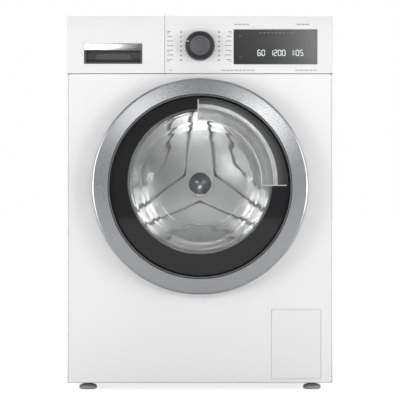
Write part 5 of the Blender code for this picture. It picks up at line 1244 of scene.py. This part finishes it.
def makeDrum(look):
    start, end = drumLow.y - frontY, drumHigh.y - frontY
    r, t = drumR, look["sheet"]
    front = lathe("drumFront", [
        (look["mouthR"], start + 0.010), (look["mouthR"], start + 0.003), (look["mouthR"] + 0.004, start),
        (r - 0.008, start),
        (r - 0.0002, start + 0.008), (r - 0.0002, start + 0.018), (r - t, start + 0.018),
        (r - t, start + 0.009), (r - 0.009, start + t),
        (look["mouthR"] + 0.006, start + t), (look["mouthR"] + t, start + 0.004),
        (look["mouthR"] + t, start + 0.010)], drumZ, steps=144, size=0.0015)
    # perforated wall: one tile with a round hole, repeated round the axis and along it
    length = end - start - 0.036
    pitch = length / look["holeRows"]
    half = math.pi / look["holesRound"]
    tile = []
    for angle, y in ((-1, -1), (0, -1), (1, -1), (1, 0), (1, 1), (0, 1), (-1, 1), (-1, 0)):
        tile.append((r * math.cos(angle * half), y * pitch / 2, r * math.sin(angle * half)))
    for i in range(8):
        t8 = math.radians(225 + 45 * i)
        tile.append((r - 0.0008, look["holeR"] * math.sin(t8), look["holeR"] * math.cos(t8)))
    wall = newObject("tile", tile, [(i, (i + 1) % 8, 8 + (i + 1) % 8, 8 + i) for i in range(8)])
    wall = repeated("drumWall", wall, "rolledStainless", Count=look["holesRound"], Rows=look["holeRows"],
                    Row_Step=(0.0, pitch, 0.0),
                    Turn=2 * half, Centre=(0, frontY + start + 0.018 + pitch / 2, drumZ))
    tidyMesh(wall, 2e-5)
    thick = wall.modifiers.new("thick", "SOLIDIFY")
    thick.thickness = 0.0010
    thick.offset = -1
    wall = realMesh("drumWall", wall)
    # pressed back
    verts, faces, rings, sides = [], [], [], 360
    radii = [0.026 + (0.172 - 0.026) * i / 92 for i in range(92)] + [0.172 + (r - 0.0105 - 0.172) * i / 9
                                                                     for i in range(10)]
    for radius in radii:
        rings.append(len(verts))
        for k in range(sides):
            a = 2 * math.pi * k / sides
            x, z = radius * math.cos(a), radius * math.sin(a)
            fade = min(1, max(0, (r - 0.022 - radius) / 0.014)) * min(1, max(0, (radius - 0.030) / 0.010))
            verts.append((x, frontY + end - t - 0.0008 - 0.001 * emboss(1000 * x, 1000 * z) * fade,
                          drumZ + z))
    for a, b in zip(rings, rings[1:]):
        faces += [(a + k, a + (k + 1) % sides, b + (k + 1) % sides, b + k) for k in range(sides)]
    back = tidyMesh(newObject("drumBack", verts, faces), 1e-7)
    if back.data.polygons[0].normal.y > 0:
        back.data.flip_normals()
    thick = back.modifiers.new("thick", "SOLIDIFY")
    thick.thickness = 0.0008
    thick.offset = -1
    back = realMesh("drumBack", back)
    # bright beads along the pressed edges
    beads = []
    for degrees in (-90, 30, 150):
        a = math.radians(degrees)
        for apex, reach in look["beads"]:
            line = []
            for i in range(-40, 41):
                v = reach * i / 40
                u = apex + 0.456 * (math.hypot(v, 0.008) - 0.008)
                x, z = u * math.cos(a) - v * math.sin(a), u * math.sin(a) + v * math.cos(a)
                y = frontY + end - t - 0.0008 - 0.001 * emboss(1000 * x, 1000 * z)
                line.append((x, y, drumZ + z))
            beads.append(sweep("bead", line, 0.0017, 10))
    back = merged("drumBack", [back, *beads])
    rim = lathe("drumRim", [(r - 0.0002, end - 0.0185), (r - 0.0002, end - 0.008), (r - 0.008, end),
                            (r - 0.0115, end), (r - 0.0115, end - t),
                            (r - 0.009, end - t), (r - t, end - 0.009), (r - t, end - 0.0185)], drumZ,
                            steps=144, size=0.0012)
    shell = merged("drumBasket", [front, wall, rim])
    finishPiece(shell, "drum", "rolledStainless", "drum_basket", 45)
    finishPiece(back, "drum", "rolledStainless", angle=60)
    hub = lathe("drumHub", [(0, end - 0.0045), (0.006, end - 0.0050), (0.014, end - 0.0085),
                            (0.022, end - 0.0140), (0.0272, end - 0.0180), (0.0292, end - 0.0182),
                            (0.0306, end - 0.0165),
                            (0.0310, end - 0.0040), (0.0310, end - 0.0022), (0, end - 0.0022)], drumZ,
                            steps=96, size=0.0016)
    # the hub is a separate steel part, and its darker bare steel is partly painted shade, standing in for the
    # dark centre of the recessed cup under the bright stainless rim
    finishPiece(hub, "drum", "bareSteel", angle=50)
    rim = [(x, frontY + end - 0.0178, z) for x, z in arc(0, drumZ, 0.0300, 0, 2 * math.pi, 72)]
    finishPiece(sweep("hubRim", rim, 0.0014, 10), "drum", "rolledStainless")
    for number in range(3):
        node = f"lifter_{number + 1}"
        piece = fromCad(f"lifter{number + 1}", node, 0.0030, 4, 25)
        finishPiece(piece, "drum", "greyPolypropylene", node, 50)
    finishPiece(fromCad("drumSpider", "drum_spider", 0.0008, 3), "drum", "castAluminium",
                "drum_spider")
    finishPiece(fromCad("drumPulley", "drum_pulley", 0.0006), "drum", "castAluminium",
                "drum_pulley")


makeDrum(drum)
print("drum ready")


# ---- what hangs and what stands inside
plain = {
    "tub_rear": ("tubRear", "tub", "tubPolypropylene", "tub_plastic", 0.0008),
    "tub_front": ("tubFront", "tub", "tubPolypropylene", "tub_plastic", 0.0008),
    "counterweight_top": ("counterweightTop", "tub", "castConcrete", "concrete", 0.0025),
    "counterweight_front": ("counterweightFront", "tub", "castConcrete", "concrete", 0.0020),
    "bearing_cartridge": ("bearingCartridge", "tub", "castAluminium", "cast_alloy", 0.0006),
    "motor_body": ("motorBody", "tub", "paintedMotor", "motor_shell", 0.0015),
    "heater": ("heater", "tub", "rolledStainless", "stainless", 0.0),
    "drive_belt": ("driveBelt", "tub", "blackRubber", "black_rubber", 0.0004),
    "motor_pulley": ("motorPulley", "motor_rotor", "bareSteel", "steel", 0.0004),
    "damper_cylinder_left": ("damperCylinderLeft", "damper_cylinder_left", "darkAbs", "dark_plastic", 0.0006),
    "damper_cylinder_right": ("damperCylinderRight", "damper_cylinder_right", "darkAbs", "dark_plastic",
                              0.0006),
    "damper_rod_left": ("damperRodLeft", "damper_rod_left", "bareSteel", "steel", 0.0005),
    "damper_rod_right": ("damperRodRight", "damper_rod_right", "bareSteel", "steel", 0.0005),
    "inlet_valve": ("inletValve", "cabinet", "mouldedAbs", "white_plastic", 0.0008),
    "mains_inlet": ("mainsInlet", "cabinet", "darkAbs", "dark_plastic", 0.0008),
    "drain_pump": ("drainPump", "cabinet", "greyPolypropylene", "grey_plastic", 0.0008),
    "pump_filter": ("pumpFilter", "filter", "darkAbs", "dark_plastic", 0.0006),
    "drain_hose": ("drainHose", "cabinet", "greyPolypropylene", "black_rubber", 0.0),
    "inlet_pipe": ("inletPipe", "cabinet", "blackRubber", "black_rubber", 0.0),
}
for node, (name, body, finish, slot, bevel) in plain.items():
    finishPiece(fromCad(name, node, bevel, 3), body, finish, node, 40)


def bellows(count, low, high, radius, deep):
    # a ribbed hose's radii
    return [radius - deep * (0.5 + 0.5 * math.cos(2 * math.pi * i / 6)) * (low < i < high)
            for i in range(count)]


def makeHoses():
    low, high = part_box("dispenser_hose")
    x, y = (low.x + high.x) / 2, (low.y + high.y) / 2
    count = 73
    route = [(x, y, low.z + (high.z - low.z) * i / (count - 1)) for i in range(count)]
    hose = sweep("dispenserHose", route, bellows(count, 9, 63, 0.0160, 0.0030), 32)
    finishPiece(hose, None, "blackRubber", "dispenser_hose", 60)
    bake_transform(hose)
    low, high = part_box("sump_hose")
    portX, portZ = 0.1637, 0.099
    sumpY = frontY + 0.100
    route = smoothRoute([(0.100, sumpY, high.z), (0.100, sumpY, high.z - 0.028),
                         (0.112, sumpY - 0.004, 0.119),
                         (portX - 0.022, sumpY - 0.008, portZ)],
                         20) + [(portX - 0.011, sumpY - 0.008, portZ), (high.x, sumpY - 0.008, portZ)]
    hose = sweep("sumpHose", route, bellows(len(route), 7, len(route) - 6, 0.0185, 0.0028), 28)
    finishPiece(hose, None, "blackRubber", "sump_hose", 60)
    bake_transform(hose)


def makeSprings():
    for hand in ("left", "right"):
        low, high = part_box(f"spring_{hand}")
        x, y = (low.x + high.x) / 2, (low.y + high.y) / 2
        turns, r, wire = 14, 0.0120, 0.0017
        start, end = low.z + 0.018, high.z - 0.018
        coil = [(x + r * math.cos(2 * math.pi * i / 20), y + r * math.sin(2 * math.pi * i / 20),
                 start + (end - start) * i / (turns * 20))
                for i in range(turns * 20 + 1)]
        route = [(x, y, low.z + 0.001), (x, y, low.z + 0.010), (x + r * 0.5, y, start - 0.003), *coil,
                 (x + r * 0.5, y, end + 0.003),
                 (x, y, high.z - 0.010), (x, y, high.z - 0.001)]
        spring = sweep(f"spring{hand.capitalize()}", route, wire, 10)
        finishPiece(spring, None, "bareSteel", f"spring_{hand}", 60)
        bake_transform(spring)


makeHoses()
makeSprings()

flap = dict(corner=0.003)


def makeFlap(look):
    low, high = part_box("service_flap")
    face = slab("flapFace", roundRect(low.x - 0.0005, low.z - 0.0005, high.x + 0.0005, high.z + 0.0005,
                                      look["corner"]), "Y", frontY + 0.0001, frontY + 0.003, 0.0006, 3)
    notch = brick("notch", (low.x + 0.021, frontY - 0.01, high.z - 0.017),
                  (low.x + 0.035, frontY + 0.0016, high.z - 0.010), 0.0006)
    finishPiece(cutBy(face, notch), "flap", "mouldedAbs", "service_flap")
    out, inside = 0.0030, 0.0020
    seat = slab("flapSeat", roundRect(low.x - out, low.z - out, high.x + out, high.z + out, 0.004), "Y",
                frontY + 0.0038, frontY + 0.0048, 0.0002)
    hole = brick("hole", (low.x + inside, frontY - 0.01, low.z + inside),
                 (high.x - inside, frontY + 0.02, high.z - inside), 0)
    finishPiece(cutBy(seat, hole), "cabinet", "mouldedAbs")


makeFlap(flap)
print("inside ready")
